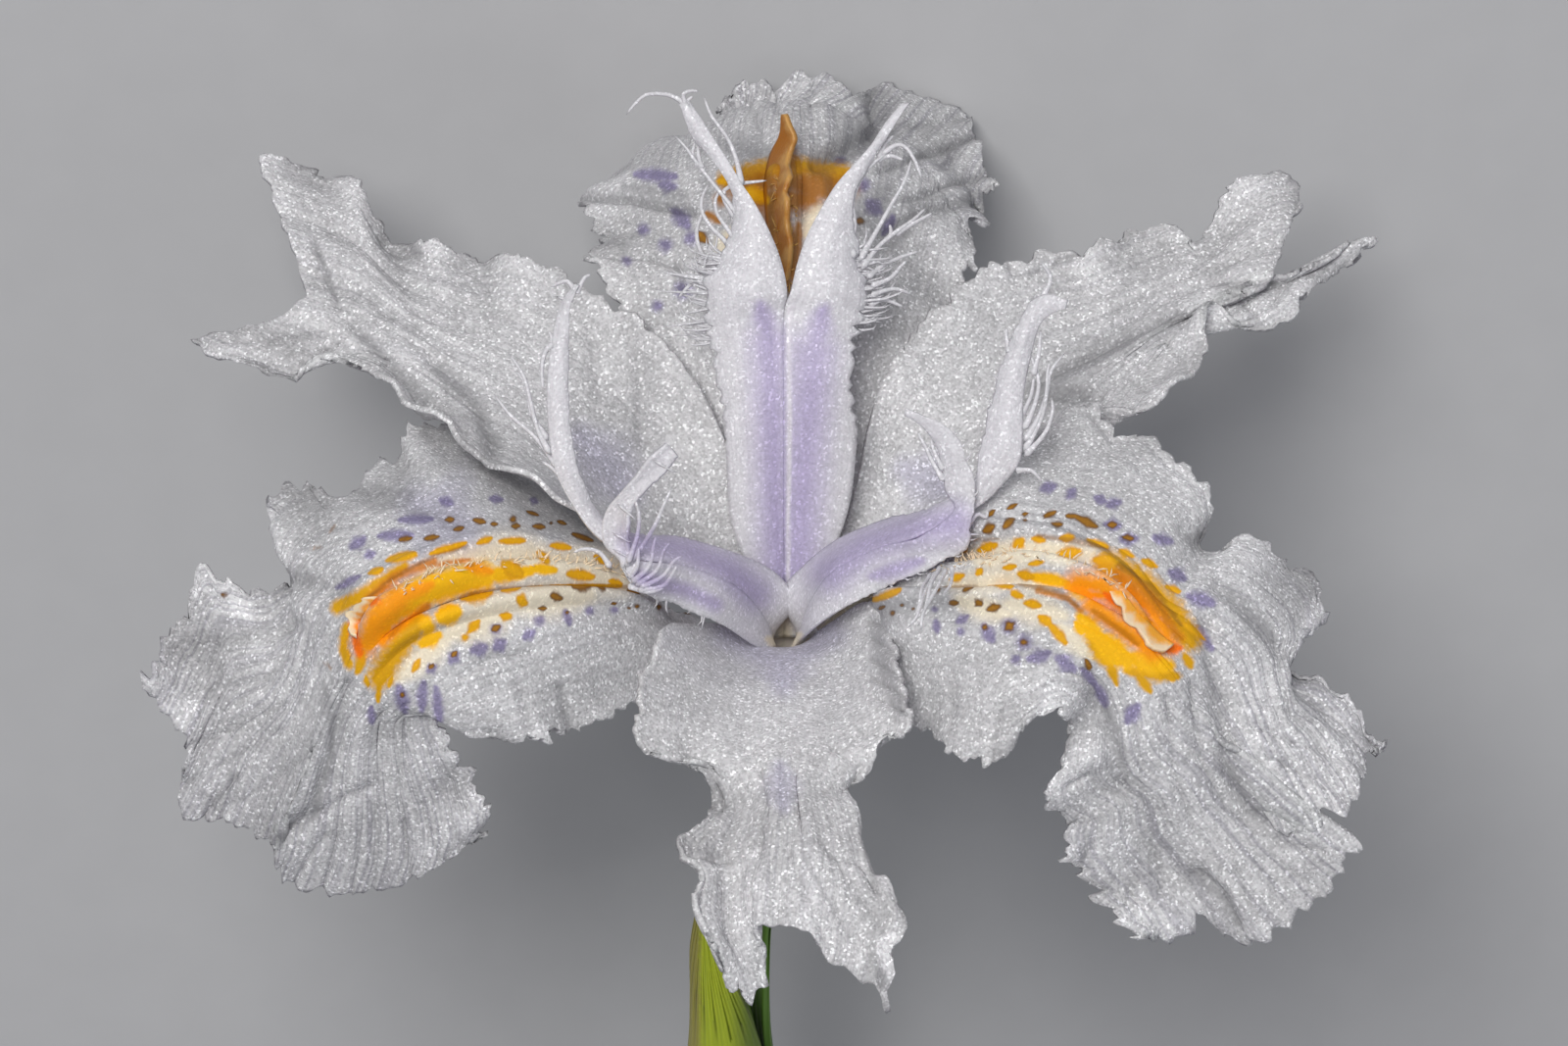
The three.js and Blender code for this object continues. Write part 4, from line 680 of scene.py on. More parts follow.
            (704, 872, 740, 876, 3), (900, 990, 905, 1005, 6)],
    },
    "standard_left": {
        "haze": [(592, 448, 640, 505, 28)],
        "paintedShadow": [(372, 345, 405, 380, 436, 408, 6), (450, 380, 484, 410, 506, 455, 8),
            (322, 250, 345, 310, 4), (420, 252, 432, 262, 5)],
    },
    "standard_right": {
        "haze": [(925, 480, 970, 500, 26)],
        "paintedShadow": [(1021, 257, 1034, 284, 3), (1034, 285, 1062, 276, 1.8), (1076, 270, 1082, 262, 1104, 260, 3),
            (1124, 262, 1132, 268, 3), (1050, 398, 1110, 402, 13), (1080, 382, 1150, 350, 1200, 326, 11),
            (1240, 292, 1300, 290, 4), (1314, 180, 1324, 190, 4), (1246, 308, 1262, 302, 4)],
    },
}
# Folds: along the stroke, its radius in pixels, and its depth in millimetres; a ridge has a negative depth
creases = {
    "fall_left": [(352, 700, 342, 760, 320, 825, 284, 860, 9, 0.55), (386, 730, 385, 780, 384, 910, 7, 0.32),
        (366, 740, 363, 790, 7, -0.2), (411, 720, 412, 760, 408, 800, 5, 0.22),
        (438, 700, 438, 745, 470, 820, 7, 0.3), (376, 802, 345, 817, 316, 838, 292, 854, 5, 0.35),
        (240, 795, 226, 812, 204, 836, 4, 0.3), (168, 668, 240, 650, 305, 640, 10, 0.35),
        (168, 710, 215, 702, 275, 690, 7, 0.3), (180, 768, 235, 745, 285, 720, 7, 0.3),
        (186, 802, 235, 775, 285, 745, 5, 0.22), (340, 500, 400, 506, 470, 530, 13, 0.45),
        (276, 592, 345, 602, 11, 0.4), (330, 905, 345, 850, 4, 0.25), (300, 900, 330, 850, 4, 0.22),
        (360, 910, 366, 850, 4, 0.2), (420, 905, 412, 840, 4, 0.25), (450, 880, 430, 820, 4, 0.22),
        (470, 860, 445, 800, 4, 0.2), (470, 690, 500, 672, 540, 665, 5, 0.3), (590, 760, 575, 700, 7, 0.2),
        (540, 750, 530, 700, 7, 0.2), (220, 830, 275, 800, 315, 765, 5, 0.2)],
    "fall_right": [(1228, 640, 1246, 720, 1256, 790, 1275, 828, 1312, 846, 11, 0.6),
        (1214, 700, 1226, 775, 1252, 830, 1300, 860, 1350, 868, 5, 0.35),
        (1190, 710, 1197, 785, 1218, 845, 1245, 890, 4, 0.28), (1160, 740, 1166, 810, 1180, 880, 4, 0.2),
        (1244, 600, 1292, 650, 1332, 692, 11, 0.5), (1208, 540, 1245, 562, 11, 0.4),
        (1220, 893, 1248, 913, 1262, 942, 8, 0.5), (1320, 700, 1368, 738, 1402, 756, 7, 0.35),
        (1112, 690, 1130, 750, 1146, 800, 11, 0.5), (1088, 766, 1115, 770, 13, -0.45),
        (1085, 802, 1106, 790, 4, 0.3), (1112, 858, 1104, 882, 7, 0.35),
        (1290, 770, 1350, 800, 1380, 825, 5, 0.25), (1275, 740, 1335, 765, 1400, 785, 5, 0.25),
        (1290, 720, 1345, 735, 1395, 765, 5, 0.2), (1150, 950, 1160, 880, 5, 0.22),
        (1180, 955, 1184, 890, 5, 0.2), (1280, 940, 1262, 890, 5, 0.25), (1310, 925, 1280, 880, 5, 0.25),
        (1340, 905, 1295, 875, 4, 0.22), (1110, 415, 1135, 450, 6, 0.25), (1010, 770, 1020, 720, 7, 0.2),
        (970, 760, 975, 700, 7, 0.2)],
    "fall_back": [(836, 166, 870, 148, 904, 124, 890, 96, 12, 1.1), (900, 174, 960, 152, 996, 138, 5, 0.45),
        (930, 205, 975, 188, 1014, 175, 5, 0.45), (900, 238, 950, 214, 1005, 204, 7, 0.5),
        (590, 208, 645, 205, 706, 216, 5, 0.6), (605, 262, 660, 262, 700, 275, 5, 0.3),
        (598, 238, 650, 235, 5, 0.25), (930, 125, 990, 118, 5, 0.3), (790, 85, 795, 130, 5, 0.25),
        (760, 95, 775, 135, 5, 0.25), (830, 85, 822, 130, 5, 0.25)],
    "standard_left": [(362, 335, 390, 362, 412, 388, 440, 412, 8, 0.5),
        (440, 372, 470, 394, 492, 420, 508, 458, 10, 0.5), (404, 384, 430, 409, 452, 426, 3, 0.2),
        (392, 244, 428, 260, 442, 284, 8, 0.35), (322, 250, 346, 312, 6, 0.35),
        (296, 384, 320, 366, 345, 352, 5, 0.35), (640, 325, 655, 380, 655, 445, 9, 0.3),
        (345, 330, 420, 320, 480, 340, 6, 0.2), (230, 350, 300, 345, 345, 340, 5, 0.25),
        (600, 330, 612, 400, 8, 0.2), (500, 270, 505, 330, 8, 0.15), (455, 420, 480, 450, 500, 470, 4, 0.2)],
    "standard_right": [(1060, 388, 1110, 366, 1150, 346, 1205, 322, 6, 0.5),
        (1045, 404, 1085, 402, 1120, 406, 8, 0.45), (1120, 348, 1180, 315, 1250, 285, 4, 0.25),
        (1130, 322, 1190, 292, 1262, 266, 4, 0.22), (1240, 292, 1300, 291, 5, 0.4),
        (888, 405, 908, 370, 940, 338, 990, 272, 8, 0.4), (1020, 256, 1034, 284, 5, 0.4),
        (1078, 268, 1104, 259, 4, 0.35), (1246, 310, 1262, 304, 1280, 322, 5, 0.3),
        (1150, 385, 1170, 400, 4, 0.2), (1190, 350, 1215, 385, 5, 0.2), (1140, 270, 1150, 240, 6, 0.2),
        (1300, 280, 1318, 230, 1325, 190, 6, 0.3), (930, 300, 960, 280, 5, 0.2)],
    "standard_front": [(797, 782, 798, 830, 5, 0.2), (778, 786, 784, 840, 4, 0.22),
        (812, 795, 818, 850, 4, 0.22), (704, 768, 728, 784, 738, 815, 9, 0.4),
        (704, 872, 725, 876, 745, 880, 4, 0.35), (776, 850, 786, 900, 784, 945, 9, 0.4),
        (872, 800, 884, 860, 893, 900, 7, 0.4), (850, 765, 875, 780, 868, 805, 5, 0.3),
        (888, 650, 922, 672, 3, 0.35), (886, 672, 924, 694, 3, 0.35), (888, 692, 926, 712, 3, 0.35),
        (892, 712, 928, 730, 3, 0.3), (890, 632, 912, 648, 3, 0.3), (658, 700, 700, 690, 4, 0.15),
        (655, 730, 700, 716, 4, 0.15), (820, 870, 870, 960, 5, 0.2), (840, 860, 900, 950, 5, 0.2),
        (805, 870, 840, 960, 5, 0.2), (735, 900, 745, 960, 7, 0.25), (798, 690, 797, 780, 3, 0.12),
        (893, 985, 902, 1010, 6, 0.3)],
}
# Lobes and bites of the rims: x, y, radius in pixels, and how many millimetres outwards
bumps = {
    "fall_left": [(300, 500, 22, 1.0), (390, 485, 22, 1.3), (425, 470, 20, 0.8), (345, 500, 10, -0.4),
        (406, 468, 7, -0.6), (148, 690, 24, 0.35), (283, 862, 8, -0.6), (206, 580, 14, 0.3)],
    "fall_right": [(1362, 848, 9, -0.8), (1380, 858, 9, 0.8), (1405, 757, 12, 0.6), (1234, 948, 8, -0.7),
        (1330, 664, 9, -0.4), (1345, 585, 14, 0.3), (1112, 416, 14, 0.5), (1065, 455, 34, 0.9)],
    "fall_back": [(716, 150, 20, -1.6), (650, 165, 26, -0.8), (758, 92, 8, 0.4), (782, 80, 8, 0.4),
        (812, 78, 8, 0.4), (838, 84, 7, 0.4), (770, 90, 4, -0.3), (797, 84, 4, -0.3), (826, 84, 4, -0.3),
        (860, 100, 12, -0.4), (990, 116, 8, 0.4), (1000, 160, 7, -0.4), (1016, 190, 8, 0.4),
        (1004, 216, 5, -0.4)],
    "standard_front": [(905, 1018, 10, 0.5), (895, 903, 5, -0.3)],
}
# Spots without waves: x, y and radius in pixels
calm = {
    "fall_left": [(462, 722, 42)],
}
# Pulls across the picture: x, y and radius, then how far to the right and down, in pixels
pulls = {
    "fall_right": [(1045, 520, 52, -40, -12), (962, 622, 50, -44, -4)],
    "standard_front": [(800, 692, 46, 0, -24)],
}
fallLook = {"rows": 258, "columns": 172, "thickness": 0.22, "crowd": 0.3, "crowdAt": 0.45, "middle": 0.4,
            "fringe": 0.5, "pitch": 1.05, "folds": 0.15, "foldPitch": 1.25, "ripple": 0.26,
            "ripplePitch": 1.5, "veins": 0.05, "veinPitch": 0.34, "broad": 0.14, "lined": 1.0}
standardLook = {"rows": 220, "columns": 90, "thickness": 0.22, "crowd": 0.0, "crowdAt": 0.5, "middle": 0.1,
                "fringe": 0.2, "pitch": 1.4, "folds": 0.18, "foldPitch": 1.5, "ripple": 0.26,
                "ripplePitch": 1.6, "veins": 0.045, "veinPitch": 0.4, "broad": 0.2, "lined": 0.45}
petalLook = {"toothDepth": 0.035, "smallTooth": 0.4, "smallPitch": 0.43, "leastWidth": 3, "creaseShare": 0.62,
             "broadPitch": (3.1, 3.6), "fan": 12, "fanDrift": 0.5, "fanPitch": (4, 5), "fullShading": 0.5}
comesIn = {"teeth": (0.3, 0.45), "rim": (0.26, 0.38), "ruffle": (0.45, 0.65), "folds": (0.6, 0.95),
           "veins": (0.2, 0.55), "broad": (0.15, 0.4), "lined": (0.45, 0.9)}      # shares of the length
hugsRim = {"teeth": 6, "fringe": 14, "tip": 44, "bump": 6, "tipBump": 16, "ruffle": 3, "ripple": 4}   # powers


def lineOf(part, side):
    return ([ownPoint(part["azimuth"], p) for p in [part["claw"][side]] + part.get(side + "Own", [])] +
            [seenPoint(part["azimuth"], p) for p in part.get(side + "Seen", [])])


def surface(part):                        # s from the claw to the tip, t from the right edge to the left
    lines = {side: lineOf(part, side) for side in ("mid", "right", "left")}
    mid, right, left = (curve(line) for line in lines.values())
    tips = {end: [seenPoint(part["azimuth"], p) for p in part[end]] for end in ("tipRight", "tipLeft")}
    tipRight = curve([lines["right"][-1]] + tips["tipRight"] + [lines["mid"][-1]])
    tipLeft = curve([lines["mid"][-1]] + tips["tipLeft"] + [lines["left"][-1]])

    def bent(s, t):
        m, l, r, t = mid(s), left(s), right(s), t[..., None]
        return m + (l - r) * t / 2 + ((l + r) / 2 - m) * np.abs(t) ** part["cupPower"]

    def whole(s, t):
        tip = np.where((t < 0)[..., None], tipRight(1 + t), tipLeft(t))
        return bent(s, t) + (tip - bent(np.ones_like(s), t)) * (s ** part["tipPower"])[..., None]
    whole.length = mid.length
    return whole


def normals(f, s, t, reach=0.012):
    ds = f(np.minimum(s + reach, 1), t) - f(np.maximum(s - reach, 0), t)
    dt = f(s, np.minimum(t + reach, 1)) - f(s, np.maximum(t - reach, -1))
    return unit(np.cross(ds, dt))


def rimLength(path):                      # how far along an edge each share of it lies
    shares = np.linspace(0, 1, 500)
    far = np.append(0, np.cumsum(np.linalg.norm(np.diff(path(shares), axis=0), axis=1)))
    return lambda share: np.interp(share, shares, far)


# The comb runs along the middle, steep on one side, with a ridge on both sides and two grooves; widths are
# shares of the petal's half width
crestLook = {"height": 0.95, "start": (0.16, 0.30), "end": (0.60, 0.68), "swell": (0.42, 0.6), "from": 0.005,
             "steep": 0.026, "gentle": 0.085, "ridges": ((-0.17, 0.8), (0.17, 0.9)), "ridgeWidth": 0.045,
             "ridgeHeight": 0.6, "grooves": (-0.09, 0.115), "grooveWidth": 0.026, "grooveDepth": 0.16}


def crestRelief(part, s, t, seed):
    look = crestLook
    u = t * part["comb"]
    off = u - look["from"]
    run = smooth(s, *look["start"]) * (1 - smooth(s, *look["end"]))
    ragged = 1 + 0.06 * wander(s * 34, seed) + 0.03 * wander(s * 90, seed + 1)
    swell = 0.7 + 0.5 * smooth(s, *look["swell"])
    comb = np.where(off < 0, hump(off, look["steep"]), hump(off, look["gentle"]))
    comb = comb * look["height"] * ragged * swell
    sides = sum(hump(u - at, look["ridgeWidth"]) * h for at, h in look["ridges"])
    grooves = sum(hump(u - at, look["grooveWidth"]) for at in look["grooves"])
    return run * (comb + look["ridgeHeight"] * sides - look["grooveDepth"] * grooves)


def petalPoints(part, s, t):              # points, normals, the grain's place and the painted shading of their folds
    look, seed, f = part["look"], part["seed"], part["surface"]
    width = np.linalg.norm(f(s, np.ones_like(s)) - f(s, -np.ones_like(s)), axis=1) / 2
    rightRim = rimLength(lambda share: f(share, -np.ones_like(share)))
    leftRim = rimLength(lambda share: f(share, np.ones_like(share)))
    tipRim = rimLength(lambda share: f(np.ones_like(share), 2 * share - 1))
    rim = np.where(t < 0, rightRim(s) + 300, leftRim(s))      # the two edges don't repeat each other
    tip = tipRim((t + 1) / 2) + 600
    across, along, edge = t * width, s * f.length, np.abs(t)
    n = normals(f, s, t)
    grown = {effect: smooth(s, *span) for effect, span in comesIn.items()}

    def teeth(x):
        small = notches(x / (petalLook["smallPitch"] * look["pitch"]), seed + 1)
        return notches(x / look["pitch"], seed) + petalLook["smallTooth"] * small
    side = np.where(t < 0, -1.0, 1.0)
    sideRim, tipEdge = f(s, side), f(np.ones_like(s), t)
    sideCut = petalLook["toothDepth"] * (s * part["teeth"] % 1) * edge ** hugsRim["teeth"] * grown["teeth"]
    broadness = np.maximum(width, petalLook["leastWidth"])
    sideCut += look["fringe"] * teeth(rim) / broadness * edge ** hugsRim["fringe"] * grown["rim"]
    tipCut = look["fringe"] * teeth(tip) / f.length * s ** hugsRim["tip"]
    p = f(s - tipCut, t * (1 - sideCut))
    for x, y, radius, grow in part["bumps"]:
        for rimPoint, inner, share in ((sideRim, f(s, 0.9 * side), edge ** hugsRim["bump"]),
                                       (tipEdge, f(np.full_like(s, 0.95), t), s ** hugsRim["tipBump"])):
            near = hump(strokeDistance(pictured(rimPoint), (x, y)), radius)
            p = p + unit(rimPoint - inner) * (grow * near * share)[:, None]
    for x, y, radius, right, down in part["pulls"]:
        near = hump(strokeDistance(pictured(p), (x, y)), radius)[:, None] / photo["pixelsPerMm"]
        p = p + near * (right * eyeRight - down * eyeUp)
    overX, overY = petalLook["fanPitch"]
    fan = t * petalLook["fan"] + petalLook["fanDrift"] * cloud(across / overX + 9, along / overY, seed + 8)
    wave = np.sin(turn * (s * part["teeth"] * 0.5 + 0.2 * t))
    rise = part["ruffle"] * wave * edge ** hugsRim["ruffle"] * grown["ruffle"]
    ripple = look["ripple"] * wander(rim / look["ripplePitch"], seed + 2)
    rise += ripple * edge ** hugsRim["ripple"] * grown["rim"]
    rise += look["folds"] * wander(fan / look["foldPitch"] + 50, seed + 3) * grown["folds"]
    rise += look["veins"] * wander(fan / look["veinPitch"] + 90, seed + 4) * grown["veins"]
    overX, overY = petalLook["broadPitch"]
    rise += look["broad"] * cloud(across / overX + 20, along / overY, seed + 5) * grown["broad"]
    at = pictured(p)
    for line in part["creases"]:
        rise -= petalLook["creaseShare"] * line[-1] * hump(strokeDistance(at, line[:-2]), line[-2])
    for x, y, radius in part["calm"]:
        rise *= 1 - hump(strokeDistance(at, (x, y)), radius)
    # painted shading from the relief: folds and creases darker, ridges lighter
    paintedShading = np.clip(-rise / petalLook["fullShading"], -0.5, 1)
    if part["crest"]:
        rise += crestRelief(part, s, t, seed + 6)
    grain = (t * petalLook["fan"], along, look["lined"] * grown["lined"])
    return p + n * rise[:, None], n, grain, paintedShading


def buildPetal(name, part):
    look = part["look"]
    mesh, row, column = gridMesh(name, look["rows"], look["columns"])
    shift = look["crowd"] / turn          # rows stand closer at one place, and columns near the middle
    s = row - shift * (np.sin(turn * (row - look["crowdAt"])) + math.sin(turn * look["crowdAt"]))
    t = column * (1 - look["middle"] + look["middle"] * column ** 2)
    points, n, grain, paintedShading = petalPoints(part, s, t)
    setPlaces(mesh, points)
    setGrain(mesh, *grain)
    setField(mesh, "paintedShading", paintedShading)
    paint(mesh, part["strokes"])
    if part["crest"]:
        obj = addPiece(name, mesh, [part["node"]], [fallSkin, fallBackSkin])
    else:
        obj = addPiece(name, mesh, [part["node"]], [standardSkin, standardSkin])
    addWall(obj, look["thickness"], 1)


for index, (nodeName, part) in enumerate(petals.items()):
    part.update(node=nodeName, seed=100 * index + 7, claw=petalClaw,
                comb=-1 if nodeName == "fall_right" else 1,     # which side of the crest is the steep one
                look=fallLook if part["crest"] else standardLook, strokes=petalStrokes[nodeName],
                creases=creases[nodeName], bumps=bumps.get(nodeName, []), calm=calm.get(nodeName, []),
                pulls=pulls.get(nodeName, []))
    part["surface"] = surface(part)
    buildPetal(pieceName(nodeName), part)
print("petals built")


def paleRim(tree):                        # a mask of the rims that are painted
    return useGroup(tree, marks, {"Field": ownField(tree, "rim"), "Wander": 0.5, "Soft": 0.3})["Mask"]


# Hairs and torn flaps on the crests; a flap's points are x, y of the photograph and the lift off the petal
# the back crest's own orange is darkened here with painted shade of the back arm over it
crestColours = {"fall_left": (colour(1.0, 0.36, 0.02), colour(0.98, 0.76, 0.50)),
                "fall_right": (colour(1.0, 0.42, 0.03), colour(0.95, 0.72, 0.48)),
                "fall_back": (colour(0.38, 0.13, 0.002), colour(0.56, 0.30, 0.08))}
hairLook = {"count": 150, "from": 0.2, "to": 0.6, "middle": 0.004, "scatter": 0.008, "length": (0.3, 0.62),
            "radii": [0.042, 0.042, 0.021], "sides": 3, "steps": 3, "root": 0.06}
flapLook = {"rows": 60, "columns": 10, "thickness": 0.2}
crestFlaps = {
    "fall_left": {
        "torn": 0.32, "pale": 0.1,
        "foot": [(390, 611, 0), (376, 622, 0), (367, 635, 0), (364, 650, 0)],
        "rim": [(383, 606, 0.3), (367, 617, 0.4), (357, 630, 0.4), (357, 648, 0.25)],
    },
    "fall_right": {
        "torn": 0.3, "pale": -0.1,
        "foot": [(1120, 584, 0), (1143, 603, 0), (1163, 627, 0), (1183, 648, 0), (1196, 658, 0)],
        "rim": [(1114, 588, 0.1), (1135, 610, 0.35), (1153, 635, 0.5), (1171, 658, 0.5), (1186, 669, 0.3)],
    },
    "fall_back": {
        "torn": 0.12, "pale": -0.3,
        "foot": [(800, 292, 0), (788, 250, 0), (782, 215, 0), (781, 190, 0.1), (787, 160, 0.6),
            (797, 138, 1.0), (799, 118, 1.3)],
        "rim": [(807, 288, 0.3), (806, 240, 0.8), (803, 200, 1.1), (806, 165, 1.4), (812, 144, 1.6),
            (807, 128, 1.65), (804, 112, 1.7)],
    },
}


def crestMaterial(name, low, high):
    material, tree, skin = newMaterial(name)
    height = useGroup(tree, cells, {"Per metre": cellLook["perMetre"]})["Height"]
    setInputs(tree, skin, {"Base Color": mix(tree, paleRim(tree), low, high), "Roughness": 0.45,
                           "Normal": bumped(tree, height, 0.3, tissue["cellDepth"]), "Subsurface Weight": 0.2,
                           "Subsurface Radius": (1.0, 0.6, 0.3), "Subsurface Scale": 0.0004})
    return material


def onPetal(part, spots):                 # places over the petal that show at these pixels, lifted to the eye
    s, t = (v.ravel() for v in np.meshgrid(np.linspace(0.1, 0.66, 200), np.linspace(-0.5, 0.5, 150)))
    p = petalPoints(part, s, t)[0]
    seen, found = pictured(p), []
    for x, y, lift in spots:
        near = np.argmin(np.linalg.norm(seen - np.array([x, y]), axis=1))
        right, down = (np.array([x, y]) - seen[near]) / photo["pixelsPerMm"]
        found.append(p[near] + right * eyeRight - down * eyeUp + lift * eyeBack)
    return np.array(found)


def addFlap(bm, part, flap):
    foot, rim = (curve(onPetal(part, flap[side])) for side in ("foot", "rim"))
    mesh, s, v = gridMesh("flap", flapLook["rows"], flapLook["columns"])
    v = (v + 1) / 2
    torn = 1 - flap["torn"] * (wander(s * 7, 3) + 0.6 * wander(s * 19, 5)) * v
    torn *= (1 - np.abs(2 * s - 1) ** 8) ** 0.5
    setPlaces(mesh, foot(s) + (rim(s) - foot(s)) * (v * torn)[:, None])
    setField(mesh, "rim", 0.9 * v + flap["pale"] + 0.3 * wander(s * 14, 4))
    addSheet(bm, mesh, flapLook["thickness"])


def addHairs(bm, part):
    look, draw = hairLook, np.random.default_rng(part["seed"])
    s = np.sort(draw.uniform(look["from"], look["to"], look["count"]))
    t = part["comb"] * draw.normal(look["middle"], look["scatter"], look["count"])
    roots, n = petalPoints(part, s, t)[:2]
    onward = unit(petalPoints(part, s + 0.01, t)[0] - roots)
    pale = bm.verts.layers.float["rim"]
    for root, up, on, by in zip(roots, n, onward, np.cross(n, onward)):
        a, b, c = draw.normal(0, 1, 3)
        way = unit(0.5 * up + 0.5 * a * on + 0.9 * b * by)
        length = draw.uniform(*look["length"])
        middle, end = root + way * length * 0.5, root + (way + 0.4 * c * on) * length
        path = curve([root - up * look["root"], middle, end])
        known = len(bm.verts)
        rod(bm, path, look["radii"], look["sides"], look["steps"])
        bm.verts.ensure_lookup_table()
        for vert in bm.verts[known:]:
            vert[pale] = 1.0


for nodeName, flap in crestFlaps.items():
    name = pieceName(nodeName, "crest")
    bm = bmesh.new()
    addFlap(bm, petals[nodeName], flap)
    addHairs(bm, petals[nodeName])
    skin = crestMaterial(nodeName.split("_")[1] + "CrestSkin", *crestColours[nodeName])
    addPiece(name, finished(bm, name), [nodeName], [skin])
print("crests built")

# The style arms: two halves from the keel outwards, each running on into its lobe, and their fringe
arms = {
    "style_left": {
        "azimuth": 210,
        "midSeen": [(-0.9, 0.5, 1.8), (-1.7, 1.5, 4.2), (-2.7, 2.2, 6.3), (-4.3, 2.8, 8), (-5.7, 3, 9.1),
            (-6.8, 3, 10)],
        "rightSeen": [(0, 1, 1.5), (-0.7, 2.3, 3.4), (-2.2, 3.3, 5.4), (-4, 4, 7.2), (-5.6, 4.2, 8.4),
            (-6.7, 4.2, 9.4)],
        "leftSeen": [(-0.6, -0.4, 1.2), (-1.7, 0.2, 3.5), (-3, 0.7, 5.5), (-4.4, 1.3, 6.8), (-5.6, 1.7, 8),
            (-6.7, 1.9, 9.2)],
    },
    "style_right": {
        "azimuth": 330,
        "midSeen": [(1, 0.6, 1.8), (1.6, 1.6, 4.4), (2.4, 2.6, 6.6), (4.1, 3.5, 8.4), (5.6, 4, 9.7),
            (7.2, 4.3, 10.8)],
        "rightSeen": [(0.6, -0.1, 1.2), (1.3, 0.6, 4), (2.4, 1.2, 5.8), (4, 1.9, 7.2), (5.4, 2.5, 8.4),
            (7, 2.8, 9.6)],
        "leftSeen": [(0.2, 1.2, 1.6), (1, 2.5, 3.4), (2.4, 3.9, 5.8), (4.2, 4.8, 7.8), (5.8, 5.2, 9.2),
            (7.4, 5.7, 10.4)],
    },
    "style_back": {
        "azimuth": 90,
        "midOwn": [(1.15, 0, 2.2), (2.8, 0, 5.4), (5, 0, 8.6), (7.4, 0, 11), (8.6, 0, 12)],
        "rightSeen": [(0.5, 1.6, 1.6), (1.5, 3.6, 3.6), (2.5, 6, 5.6), (3, 8.4, 7.4), (2.9, 10.8, 9.4),
            (3.6, 13, 10.8)],
        "leftSeen": [(-0.1, 1.6, 1.6), (-1.3, 3.6, 3.6), (-2, 5.6, 5.2), (-2.5, 8.8, 7.6), (-3.1, 11.6, 9.6),
            (-3.4, 14, 11.2)],
    },
}
armClaw = {"mid": (0.75, 0, -0.6), "right": (0.72, -0.5, -0.6), "left": (0.72, 0.5, -0.6)}
# the dark dab where the arms' bases meet is painted shade
armStrokes = {
    "style_left": {
        "lilac": [(650, 552, 700, 560, 740, 580, 770, 606, 16), (655, 590, 700, 602, 730, 616, 8)],
        "cream": [(784, 652, 800, 660, 7)],
        "paintedShadow": [(790, 660, 804, 664, 3)],
    },
    "style_right": {
        "lilac": [(975, 534, 930, 541, 885, 555, 848, 584, 19), (940, 572, 890, 588, 9)],
        "cream": [(804, 661, 816, 648, 7)],
        "paintedShadow": [(803, 668, 808, 655, 3)],
    },
    "style_back": {
        "lilac": [(796, 610, 793, 520, 789, 420, 786, 350, 20), (786, 350, 776, 312, 12),
            (814, 610, 817, 520, 824, 420, 830, 360, 22), (830, 360, 840, 316, 13)],
        "keel": [(804, 600, 805, 500, 806, 400, 806, 305, 1.8)],
        "cream": [(800, 655, 803, 628, 8)],
    },
}
# Where each half runs on into its lobe: x, y of the photograph and the height, along the lobe's inner and
# outer edge
lobeEdges = {
    "style_left": {
        "right": {
            "inner": [(633, 566, 9.2), (607, 546, 9.9), (586, 518, 10.8), (568, 482, 12), (561, 440, 13.2),
                (559, 395, 14.6), (564, 348, 16), (573, 312, 17.2), (587, 290, 18.2)],
            "outer": [(622, 536, 9.4), (603, 512, 10.6), (590, 478, 12), (583, 440, 13.2), (580, 395, 14.6),
                (581, 348, 16), (583, 316, 17.2), (591, 290, 18.2)],
        },
        "left": {
            "inner": [(622, 562, 9.4), (614, 542, 10.2), (619, 520, 11), (633, 503, 11.8), (649, 485, 12.6),
                (662, 468, 13.3), (680, 452, 13.8)],
            "outer": [(640, 588, 9), (643, 562, 9.8), (641, 538, 10.8), (648, 514, 11.6), (664, 496, 12.2),
                (682, 480, 12.8), (691, 465, 13.4)],
        },
    },
    "style_right": {
        "left": {
            "inner": [(998, 516, 10.4), (1024, 492, 11), (1040, 470, 11.8), (1043, 440, 12.6),
                (1043, 405, 13.6), (1050, 365, 14.8), (1060, 332, 16), (1074, 319, 16.6), (1087, 315, 17)],
            "outer": [(992, 492, 11), (1000, 457, 12), (1007, 420, 13), (1016, 388, 14), (1027, 358, 15),
                (1040, 325, 16.2), (1056, 304, 16.9), (1074, 300, 17.2), (1091, 307, 17.2)],
        },
        "right": {
            "inner": [(975, 522, 10.4), (966, 500, 11), (963, 480, 11.6), (959, 460, 12.3), (950, 444, 12.9),
                (938, 431, 13.4), (923, 422, 13.7)],
            "outer": [(986, 560, 9.6), (992, 532, 10.4), (996, 504, 11.2), (992, 476, 12), (981, 452, 12.8),
                (961, 431, 13.4), (924, 416, 13.9)],
        },
    },
    "style_back": {
        "left": {
            "inner": [(803, 296, 12), (795, 262, 12.9), (782, 230, 13.8), (768, 204, 14.5), (757, 188, 14.9),
                (742, 163, 15.5), (727, 140, 16.1), (714, 120, 16.6), (702, 104, 17)],
            "outer": [(711, 296, 11.6), (727, 272, 12.3), (742, 242, 13.1), (748, 214, 13.9),
                (745, 190, 14.7), (729, 164, 15.3), (709, 144, 15.8), (699, 122, 16.5), (694, 106, 17)],
        },
        "right": {
            "inner": [(807, 296, 12), (814, 268, 12.8), (824, 240, 13.6), (838, 214, 14.2), (853, 190, 14.8),
                (872, 168, 15.4), (890, 148, 15.9), (905, 126, 16.4), (921, 106, 17)],
            "outer": [(892, 303, 11.2), (885, 277, 12.0), (877, 250, 12.9), (870, 222, 13.8),
                (872, 196, 14.6), (885, 172, 15.2), (897, 150, 15.8), (912, 128, 16.4), (928, 104, 17)],
        },
    },
}
